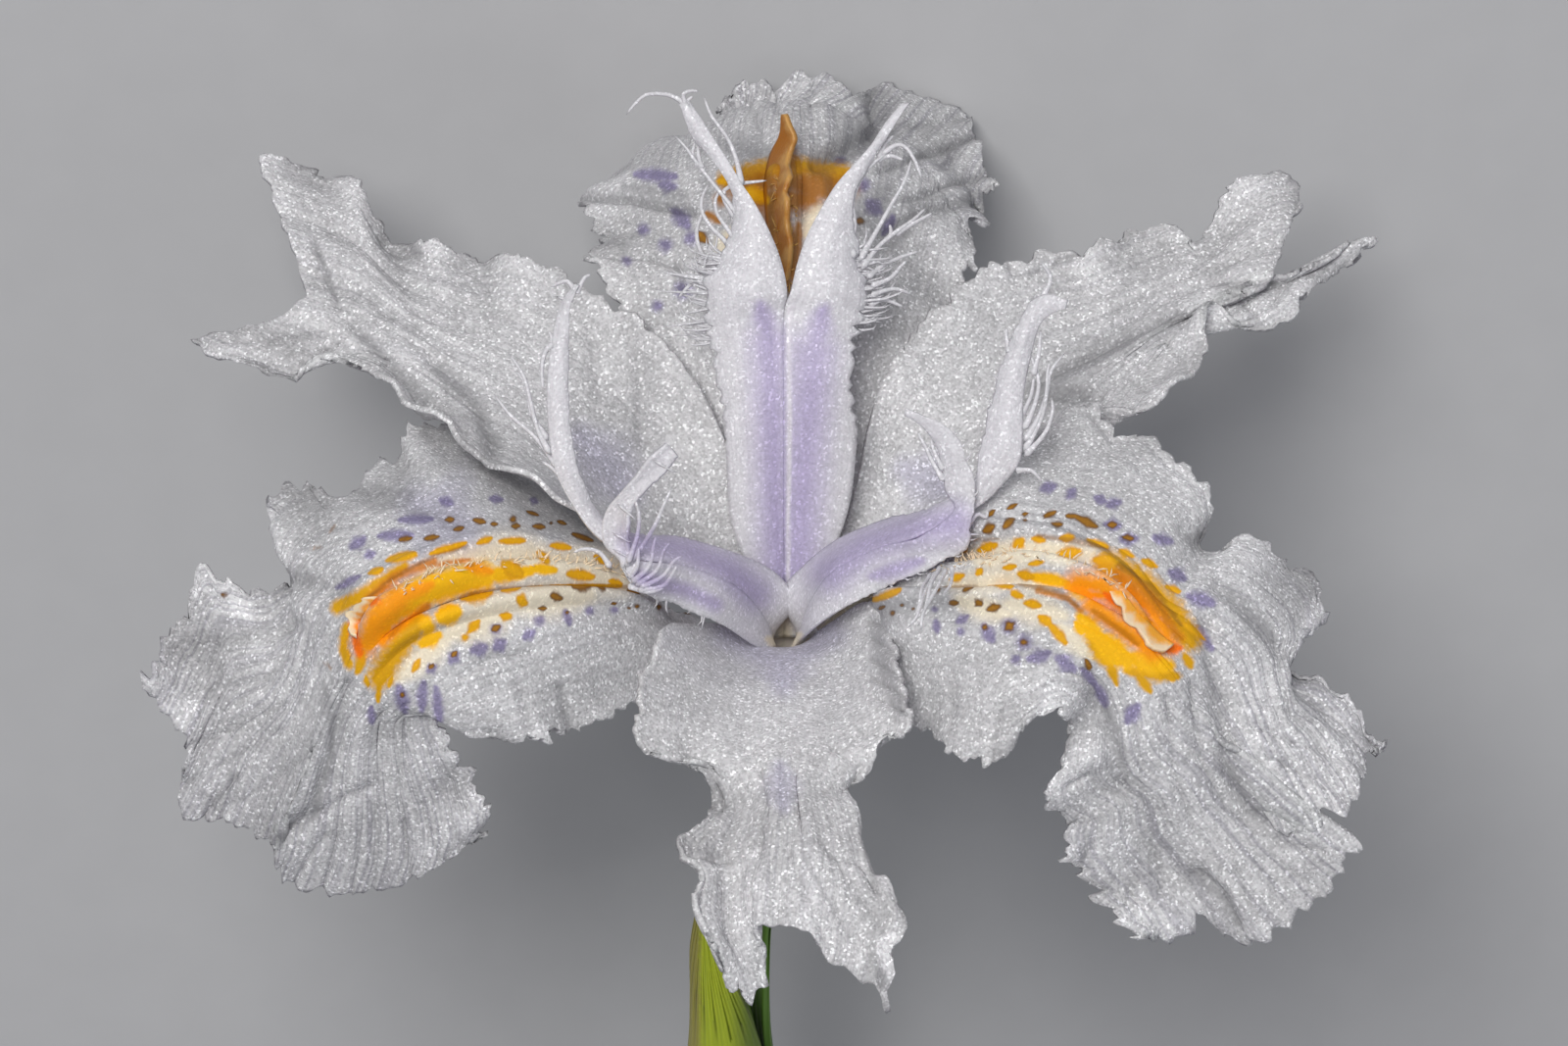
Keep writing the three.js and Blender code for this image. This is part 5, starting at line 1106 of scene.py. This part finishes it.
# Fringe threads: x, y of the photograph and the height
threads = {
    "style_left": [
        [(588, 300, 17.8), (596, 284, 18.3), (603, 280, 18.4)],
        [(588, 298, 17.9), (578, 287, 18.2), (562, 293, 17.8)],
        [(567, 350, 16), (557, 358, 15.7), (553, 375, 15.2), (554, 398, 14.6)],
        [(562, 360, 15.6), (563, 345, 16), (560, 338, 16.2)],
        [(562, 465, 12.6), (548, 436, 13.2), (541, 408, 14), (534, 383, 14.6), (519, 360, 15)],
        [(560, 450, 12.9), (544, 425, 13.4), (538, 400, 14), (532, 384, 14.4), (524, 379, 14.6)],
        [(572, 480, 12), (545, 445, 12.6), (522, 425, 13), (504, 402, 13.4)],
        [(585, 505, 11.2), (566, 480, 11.8), (552, 470, 12)],
        [(636, 580, 9.2), (652, 562, 9.9), (667, 538, 11), (677, 516, 11.8), (686, 496, 12.4)],
        [(640, 576, 9.6), (650, 548, 10.4), (652, 525, 11.2), (648, 510, 11.8)],
        [(642, 590, 9), (650, 578, 9.6), (652, 558, 10.2)],
        [(644, 595, 8.9), (662, 578, 9.6), (667, 556, 10.4), (670, 546, 10.7)],
        [(648, 598, 8.8), (670, 582, 9.4), (677, 562, 10.1), (684, 553, 10.5)],
        [(652, 600, 8.8), (676, 588, 9.3), (688, 572, 9.9), (697, 567, 10.1)],
        [(650, 602, 8.7), (676, 598, 9), (687, 584, 9.6), (691, 576, 9.9)],
        [(640, 597, 8.6), (660, 604, 8.7), (678, 600, 9)],
        [(624, 580, 9), (612, 564, 9.5), (597, 560, 9.7), (584, 564, 9.5)],
    ],
    "style_right": [
        [(1064, 304, 16.9), (1072, 284, 17.5), (1063, 268, 18)],
        [(1045, 452, 12.4), (1060, 425, 13.1), (1069, 398, 13.9), (1071, 382, 14.4), (1078, 370, 14.8),
            (1087, 360, 15)],
        [(1044, 462, 12.1), (1062, 428, 13), (1068, 400, 13.9), (1069, 378, 14.5), (1073, 367, 14.8)],
        [(1044, 440, 12.7), (1054, 418, 13.3), (1060, 392, 14.1), (1054, 368, 14.7), (1047, 356, 15)],
        [(1042, 425, 13), (1052, 404, 13.6), (1055, 385, 14.2)],
        [(1045, 466, 12), (1066, 442, 12.6), (1074, 420, 13.2), (1073, 405, 13.6)],
        [(1054, 384, 14.4), (1060, 360, 15), (1062, 336, 15.6)],
        [(1036, 480, 11.5), (1052, 480, 11.6), (1063, 491, 11.2)],
        [(1030, 360, 15), (1027, 345, 15.3), (1027, 334, 15.6)],
        [(964, 492, 11.3), (952, 472, 11.9), (944, 455, 12.3), (936, 440, 12.7)],
        [(963, 480, 11.7), (954, 462, 12.2), (950, 448, 12.6)],
        [(985, 540, 10), (997, 525, 10.4), (1006, 528, 10.3), (1008, 520, 10.5)],
        [(960, 578, 11.6), (950, 596, 12.6), (945, 618, 12.6), (936, 640, 12.2)],
        [(955, 584, 11.4), (943, 606, 12.4), (936, 628, 12.4), (926, 641, 12)],
        [(950, 586, 11.4), (941, 600, 12.4), (938, 618, 12.4), (933, 630, 12)],
        [(966, 580, 11.6), (956, 600, 12.6), (942, 625, 12.5), (940, 645, 12.1)],
        [(972, 578, 11), (970, 596, 11.4), (962, 606, 11.4)],
    ],
    "style_back": [
        [(706, 112, 16.8), (686, 98, 17.1), (662, 96, 17.2), (650, 104, 17), (639, 117, 16.6)],
        [(704, 112, 16.8), (697, 98, 17.3), (703, 93, 17.5), (713, 93, 17.5)],
        [(705, 110, 16.8), (701, 104, 17), (707, 98, 17.2)],
        [(757, 192, 14.8), (752, 165, 15.4), (743, 142, 16), (726, 118, 16.7), (718, 98, 17.3)],
        [(770, 250, 13.2), (748, 213, 14), (725, 184, 14.7), (708, 162, 15.2), (698, 148, 15.5),
            (687, 137, 15.8)],
        [(713, 170, 15), (707, 158, 15.2), (709, 145, 15.6)],
        [(716, 172, 15), (713, 160, 15.2), (712, 148, 15.5)],
        [(752, 225, 13.6), (738, 200, 14.2), (748, 189, 14.6), (783, 184, 15)],
        [(752, 268, 12.6), (740, 246, 13), (726, 232, 13.4), (716, 215, 13.8), (717, 200, 14.1),
            (724, 186, 14.4)],
        [(760, 262, 12.8), (744, 236, 13.4), (732, 218, 13.8), (730, 204, 14.1), (736, 192, 14.4)],
        [(728, 282, 11.8), (714, 254, 12.5), (711, 236, 12.9), (716, 220, 13.2), (722, 208, 13.5)],
        [(735, 290, 11.6), (716, 278, 11.9), (710, 284, 11.8), (708, 293, 11.7)],
        [(737, 296, 11.4), (716, 288, 11.6), (704, 291, 11.6), (692, 304, 11.3)],
        [(745, 300, 11.4), (722, 296, 11.5), (712, 299, 11.4), (704, 306, 11.2)],
        [(872, 264, 12.8), (865, 240, 13.3), (852, 224, 13.8), (849, 211, 14.2)],
        [(864, 262, 12.8), (872, 232, 13.5), (870, 206, 14.2), (879, 182, 14.8), (893, 165, 15.2),
            (908, 155, 15.4)],
        [(898, 160, 15.2), (914, 148, 15.6), (925, 151, 15.6), (934, 165, 15.3), (941, 183, 14.9)],
        [(894, 164, 15.1), (908, 159, 15.3), (922, 163, 15.3)],
        [(896, 162, 15.2), (904, 146, 15.6), (912, 138, 15.9)],
        [(876, 268, 12.5), (892, 240, 13.1), (910, 208, 13.9), (923, 185, 14.5), (931, 160, 15.1)],
        [(878, 276, 12.2), (896, 252, 12.7), (915, 236, 13.1), (932, 224, 13.3), (946, 211, 13.5)],
        [(912, 240, 12.9), (932, 228, 13.2), (952, 217, 13.4)],
        [(904, 246, 12.7), (909, 238, 12.9), (908, 229, 13.2)],
        [(884, 284, 11.8), (902, 270, 12), (920, 262, 12.2), (938, 256, 12.3)],
        [(888, 292, 11.6), (908, 284, 11.8), (918, 273, 12), (926, 265, 12.2)],
        [(888, 302, 11.3), (904, 296, 11.4), (916, 295, 11.4), (930, 300, 11.2)],
        [(886, 312, 11), (902, 306, 11.1), (922, 313, 10.9)],
    ],
}
# From and to along a half's outer edge, how many, shortest and longest
spikes = {
    "style_left": {"right": (0.62, 0.98, 9, 0.15, 0.4), "left": (0.42, 0.97, 13, 0.2, 0.6)},
    "style_right": {"left": (0.60, 0.98, 7, 0.15, 0.4), "right": (0.40, 0.9, 13, 0.2, 0.6)},
    "style_back": {"right": (0.57, 0.72, 40, 0.6, 1.9), "left": (0.55, 0.71, 52, 0.6, 1.9)},
}
armLook = {"rows": 110, "columns": 14, "thickness": 0.17, "base": (0.6, 1.0, -0.55), "bulge": 0.2,
           "lobeBulge": 0.17, "flare": 0.5, "flared": (0.05, 0.4), "joins": (-0.08, 0.12), "backArch": 0.6,
           "keel": 0.2, "keelWidth": 0.05, "keelSpan": (0.12, 0.3), "ribs": 0.035, "ribPitch": 0.26,
           "ribSpan": (0.2, 0.4), "waves": 26, "waving": 0.12, "waveSpan": (0.4, 0.55),
           "fraySpan": (0.3, 0.5), "fringeFrom": (-0.2, -0.08), "fringeTo": (0.1, 0.2)}
threadLook = {"radii": [0.17, 0.1, 0.085, 0.075, 0.045], "sides": 6, "steps": 14, "flat": 0.7}
spikeLook = {"radii": [0.085, 0.055, 0.02], "sides": 4, "steps": 4}


def addHalf(bm, part, side, lobe, seed):
    look = armLook
    out, wide, high = look["base"]
    sign = {"left": 1, "right": -1}[side]
    mid, rim = lineOf(part, "mid"), lineOf(part, side)
    mid[0], rim[0] = (ownPoint(part["azimuth"], (out, at, high)) for at in (0, sign * wide))
    inner = curve(mid[:-1] + [shownPoint(*p) for p in lobe["inner"]])
    outer = curve(rim[:-1] + [shownPoint(*p) for p in lobe["outer"]])
    left, right = (curve(lineOf(part, edge)) for edge in ("left", "right"))
    split = curve(mid[:-1]).length / inner.length
    mesh, s, v = gridMesh("half", look["rows"], look["columns"])
    v = (v + 1) / 2
    a, b = inner(s), outer(s)
    b = b + (b - a) * (look["flare"] * (1 - smooth(s, *look["flared"])))[:, None]
    gap = np.linalg.norm(b - a, axis=1)
    sinceSplit = s - split
    inLobe = smooth(sinceSplit, *look["joins"])
    low = np.minimum(s / split, 1)
    whole = (left(low) - right(low)) * sign                   # from edge to edge of the arm
    facing = unit(b - a) * inLobe[:, None] + unit(whole) * (1 - inLobe)[:, None]
    n = unit(np.cross(ahead(inner, s, 0.02), facing)) * sign
    keel = part["node"] == "style_back"
    swell = np.sin(math.pi * v)
    arch = look["backArch"] * swell if keel else np.cos(math.pi * v / 2)
    rise = np.linalg.norm(whole, axis=1) / 2 * look["bulge"] * (1 - inLobe) * arch
    rise += gap * look["lobeBulge"] * inLobe * swell
    if keel:
        rise += look["keel"] * hump(v, look["keelWidth"]) * (1 - inLobe) * smooth(s, *look["keelSpan"])
    rise += look["ribs"] * wander(v * gap / look["ribPitch"] + 9, seed) * swell * smooth(s, *look["ribSpan"])
    rise += look["waving"] * wander(s * look["waves"], seed + 4) * v ** 3 * smooth(s, *look["waveSpan"])
    fringed = keel * smooth(sinceSplit, *look["fringeFrom"]) * (1 - smooth(sinceSplit, *look["fringeTo"]))
    torn = (0.1 * notches(s * 42, seed) + 0.12 * notches(s * 15, seed + 2) * inLobe) * v ** 5
    frayed = 1 - torn * smooth(s, *look["fraySpan"]) - 0.14 * notches(s * 75, seed + 3) * v ** 4 * fringed
    setPlaces(mesh, a + (b - a) * (v * frayed)[:, None] + n * rise[:, None])
    setGrain(mesh, v * 4, s * inner.length)
    addSheet(bm, mesh, look["thickness"])
    addSpikes(bm, inner, outer, spikes[part["node"]][side], np.random.default_rng(seed))


def addSpikes(bm, inner, outer, row, draw):
    first, last, count, short, long = row
    for at in draw.uniform(first, last, count):
        here, on = outer(at), ahead(outer, at, 0.02)
        away = unit(here - inner(at))
        way = unit(away * draw.uniform(0.4, 1) + on * draw.uniform(0, 1.1) + draw.normal(0, 0.25, 3))
        tip = here + way * (short + (long - short) * draw.uniform() ** 1.4)
        bend = on * draw.uniform(-0.1, 0.15)
        rod(bm, curve([here - away * 0.8, here + (tip - here) * 0.5 - bend, tip]), **spikeLook)


for index, (nodeName, part) in enumerate(arms.items()):
    part.update(node=nodeName, claw=armClaw)
    name = pieceName(nodeName)
    bm = bmesh.new()
    for side, lobe in lobeEdges[nodeName].items():
        addHalf(bm, part, side, lobe, 900 + 20 * index + len(side))
    for thread in threads[nodeName]:
        rod(bm, curve([shownPoint(*p) for p in thread]), **threadLook)
    mesh = finished(bm, name)
    paint(mesh, armStrokes[nodeName])
    addPiece(name, mesh, [nodeName], [armSkin])
print("style arms built")

# Stamens under the arms
stamenLook = {"radii": [0.2, 0.19, 0.18, 0.17, 0.24, 0.32, 0.34, 0.33, 0.3, 0.22], "sides": 14, "steps": 60,
              "face": (0, 0, 1)}
stamenLine = [(1.8, 0, 1.2), (3, 0, 3.3), (4.6, 0, 5.5), (6, 0, 7.1)]
antherLook = {"light": colour(0.80, 0.74, 0.58), "dark": colour(0.62, 0.52, 0.34), "perMetre": 5200.0,
              "darkSpan": (0.35, 0.65), "roughness": 0.7, "bump": 0.3, "depth": 0.00008}
antherSkin, tree, skin = newMaterial("antherSkin")
place = node(tree, "TexCoord", {}).outputs["Object"]
noise = node(tree, "TexNoise", {"Vector": place, "Scale": antherLook["perMetre"], "Detail": 5.0,
                                "Roughness": 0.6}).outputs[0]
base = mix(tree, spread(tree, noise, *antherLook["darkSpan"]), antherLook["light"], antherLook["dark"])
setInputs(tree, skin, {"Base Color": base, "Roughness": antherLook["roughness"],
                       "Normal": bumped(tree, noise, antherLook["bump"], antherLook["depth"])})
for nodeName, azimuth in (("stamen_left", 210), ("stamen_right", 330), ("stamen_back", 90)):
    bm = bmesh.new()
    rod(bm, curve([ownPoint(azimuth, p) for p in stamenLine]), **stamenLook)
    name = pieceName(nodeName)
    addPiece(name, finished(bm, name), [nodeName], [antherSkin])
print("stamens built")

# Tube, ovary, stem and bracts follow an axis that leans a little to the left
axis = [(0, 0, 0), (-1.2, 0, -8), (-2.3, 0, -16), (-2.4, 0, -25), (-2.1, 0, -40), (-1.2, 0, -58), (0, 0, -75)]
axisTable = curve(axis)(np.linspace(1, 0, 600))
greenLook = {"streaks": {"Across": 3.4, "Along": 0.05}, "lineSpan": (0.45, 0.62), "lines": 0.18, "rims": 0.7,
             "bump": 0.4, "depth": 0.00012, "skin": {"Subsurface Weight": 0.1, "Subsurface Scale": 0.0006,
                                                     "Subsurface Radius": (0.6, 1.0, 0.3)}}


def greenMaterial(name, light, dark, brown, fades, roughness):   # it darkens from one millimetre to another, and on the side with painted shade
    material, tree, skin = newMaterial(name)
    streak = useGroup(tree, streaks, greenLook["streaks"])["Streak"]
    fadeAndShade = calc(tree, "MAXIMUM", spread(tree, ownPlace(tree)[1], *fades), ownField(tree, "paintedShading"))
    lines = calc(tree, "MULTIPLY", spread(tree, streak, *greenLook["lineSpan"]), greenLook["lines"])
    base = mix(tree, lines, mix(tree, fadeAndShade, colour(*light), colour(*dark)), colour(*dark))
    base = mix(tree, calc(tree, "MULTIPLY", paleRim(tree), greenLook["rims"]), base, colour(*brown))
    normal = bumped(tree, streak, greenLook["bump"], greenLook["depth"])
    setInputs(tree, skin, {"Base Color": base, "Normal": normal, "Roughness": roughness, **greenLook["skin"]})
    return material


def axisAt(z):
    return np.stack([np.interp(z, axisTable[:, 2], axisTable[:, 0]), np.zeros_like(z), z], -1)


# Turned pieces: radius and height down the profile, and ribs, a share of the radius and how many
stemSkin = greenMaterial("stemSkin", (0.20, 0.34, 0.06), (0.10, 0.22, 0.03), (0.3, 0.2, 0.06), (30, 75), 0.42)
tubeSkin = greenMaterial("tubeSkin", (0.70, 0.61, 0.54), (0.44, 0.50, 0.26), (0.5, 0.5, 0.4), (1, 8), 0.5)
turned = {
    "stemStalk": {"node": "stem", "slot": "stem_green", "skin": stemSkin, "sides": 40, "ribs": (0.02, 9),
                  "profile": [(0.8, -29.9), (0.9, -40), (1, -57), (1.05, -75)]},
    "ovaryBody": {"node": "ovary", "slot": "stem_green", "skin": stemSkin, "sides": 40, "ribs": (0.05, 3),
                  "profile": [(0.6, -22.3), (0.95, -23.6), (1.2, -26), (1.1, -28.2), (0.8, -29.6)]},
    "perianthTube": {"node": "perianth_tube", "slot": "tube", "skin": tubeSkin, "sides": 56,
                     "ribs": (0.02, 6),
                     "profile": [(0.3, -1.8), (1.3, -1.6), (1.75, -0.6), (2.2, -0.3), (2.45, -0.55),
                                 (2.1, -1.8), (1.4, -3.4), (0.95, -6), (0.78, -12), (0.8, -22)]},
}
turnedSteps, endPower, turnedGrain = 120, 90, 1.2
for name, piece in turned.items():
    mesh, s, t = gridMesh(name, turnedSteps, piece["sides"])
    a = math.pi * t
    line = curve([(r, 0, z) for r, z in piece["profile"]])(s)
    rib, ribs = piece["ribs"]
    r = line[:, 0] * (1 + rib * np.cos(ribs * a)) * np.sqrt(1 - np.abs(2 * s - 1) ** endPower)
    setPlaces(mesh, axisAt(line[:, 2]) + np.stack([r * np.cos(a), r * np.sin(a), np.zeros_like(a)], -1))
    setGrain(mesh, a * turnedGrain, -line[:, 2])
    bm = bmesh.new()
    bm.from_mesh(mesh)
    bmesh.ops.remove_doubles(bm, verts=bm.verts, dist=closeBy)
    bmesh.ops.recalc_face_normals(bm, faces=bm.faces)
    bm.to_mesh(mesh)
    bm.free()
    addPiece(name, mesh, [piece["node"]], [piece["skin"]])

# Bracts: from foot to tip along the axis, wrapped this many degrees round it
outerSkin = greenMaterial("outerBractSkin", (0.52, 0.62, 0.03), (0.12, 0.18, 0.02), (0.34, 0.25, 0.08),
                          (19, 48), 0.45)
innerSkin = greenMaterial("innerBractSkin", (0.20, 0.30, 0.05), (0.09, 0.18, 0.03), (0.26, 0.17, 0.05),
                          (17, 40), 0.5)
bracts = {
    "spatheOuter": {"node": "spathe_outer", "slot": "outer_bract", "skin": outerSkin, "foot": -39,
                    "tip": -14.8, "turn": 216, "facing": 228, "flare": 0.25},
    "spatheInner": {"node": "spathe_inner", "slot": "inner_bract", "skin": innerSkin, "foot": -38, "tip": -15,
                    "turn": 100, "facing": 38, "flare": 1.1},
}
bractLook = {"rows": 110, "columns": 70, "thickness": 0.3, "radii": [1.36, 1.8, 1.9, 1.55, 1.4, 1.36],
             "radiusEvery": 4.8, "vein": 0.03, "veins": 26, "point": 0.12, "narrows": (0.45, 1.02),
             "grain": 1.6, "brownSide": (0.45, 1.0), "brownTip": (0.84, 1.1), "shadedSide": (-0.35, 0.7)}
bractRadius = curve([(r, i * bractLook["radiusEvery"], 0) for i, r in enumerate(bractLook["radii"])])
for name, bract in bracts.items():
    look = bractLook
    mesh, s, t = gridMesh(name, look["rows"], look["columns"])
    wide = 1 - smooth(s, *look["narrows"]) ** 1.3 * (1 - look["point"])
    a = np.radians(bract["facing"] + bract["turn"] / 2 * wide * -t)
    r = bractRadius(s)[:, 0] + bract["flare"] * s ** 5 + look["vein"] * np.cos(t * look["veins"] * math.pi)
    out = np.stack([np.cos(a), np.sin(a), np.zeros_like(a)], -1)
    z = bract["foot"] + (bract["tip"] - bract["foot"]) * s
    setPlaces(mesh, axisAt(z) + out * r[:, None])
    setGrain(mesh, a * look["grain"], -z)
    brownTip = smooth(s, *look["brownTip"]) * 0.9
    setField(mesh, "rim", np.maximum(smooth(-out[:, 0], *look["brownSide"]), brownTip))
    # painted shade on the side of the bract turned from the light
    setField(mesh, "paintedShading", smooth(out[:, 0], *look["shadedSide"]))
    addWall(addPiece(name, mesh, [bract["node"]], [bract["skin"]]), look["thickness"])
print("stem, tube and bracts built")

# Floor, light and camera
floorMaterial, tree, skin = newMaterial("floorPaper")
place = node(tree, "TexCoord", {}).outputs["Object"]
grain = node(tree, "TexNoise", {"Vector": place, "Scale": 400.0, "Detail": 4.0}).outputs[0]
paper = mix(tree, grain, colour(0.47, 0.47, 0.48), colour(0.50, 0.50, 0.51))
setInputs(tree, skin, {"Base Color": paper, "Roughness": 0.9})
bm = bmesh.new()
bmesh.ops.create_grid(bm, x_segments=4, y_segments=4, size=2.0)
floor = newObject("floor", meshOf(bm, "floor"))
floor.data.materials.append(floorMaterial)

lights = {
    "key": {"from": (-0.10, 0.34, 0.39), "size": 0.2, "power": 1.85, "colour": (1.0, 0.99, 0.97)},
    "fill": {"from": (0.42, -0.10, 0.36), "size": 0.5, "power": 0.42, "colour": (0.95, 0.97, 1.0)},
}
studio = {"colour": colour(0.9, 0.92, 1.0), "strength": 0.25, "lightsAimAt": (0, 0, 4.0), "film": 36}
target = Matrix.Translation(laidDown(np.array(studio["lightsAimAt"])))
for name, light in lights.items():
    lamp = bpy.data.lights.new(name, "AREA")
    lamp.energy, lamp.size, lamp.color = light["power"], light["size"], light["colour"]
    place = Matrix.Translation(light["from"])
    towards = (target.translation - place.translation).to_track_quat("-Z", "Y").to_matrix().to_4x4()
    newObject(name, lamp).matrix_world = place @ towards
world = bpy.data.worlds.new("studio")
world.use_nodes = True
background = world.node_tree.nodes["Background"]
setInputs(world.node_tree, background, {"Color": studio["colour"], "Strength": studio["strength"]})
bpy.context.scene.world = world

lens = bpy.data.cameras.new("camera")
lens.sensor_width = studio["film"]
lens.lens = studio["film"] * photo["eyeDistance"] * photo["pixelsPerMm"] / photo["width"]
lens.clip_start, lens.clip_end = 0.01, 10
camera = newObject("camera", lens)
facing = laid @ np.stack([eyeRight, eyeUp, eyeBack], -1)
camera.matrix_world = Matrix.Translation(laidDown(eye)) @ Matrix(facing.tolist()).to_4x4()
bpy.context.scene.camera = camera
bpy.context.scene.view_settings.view_transform = "Standard"
bpy.context.scene.view_settings.look = "None"
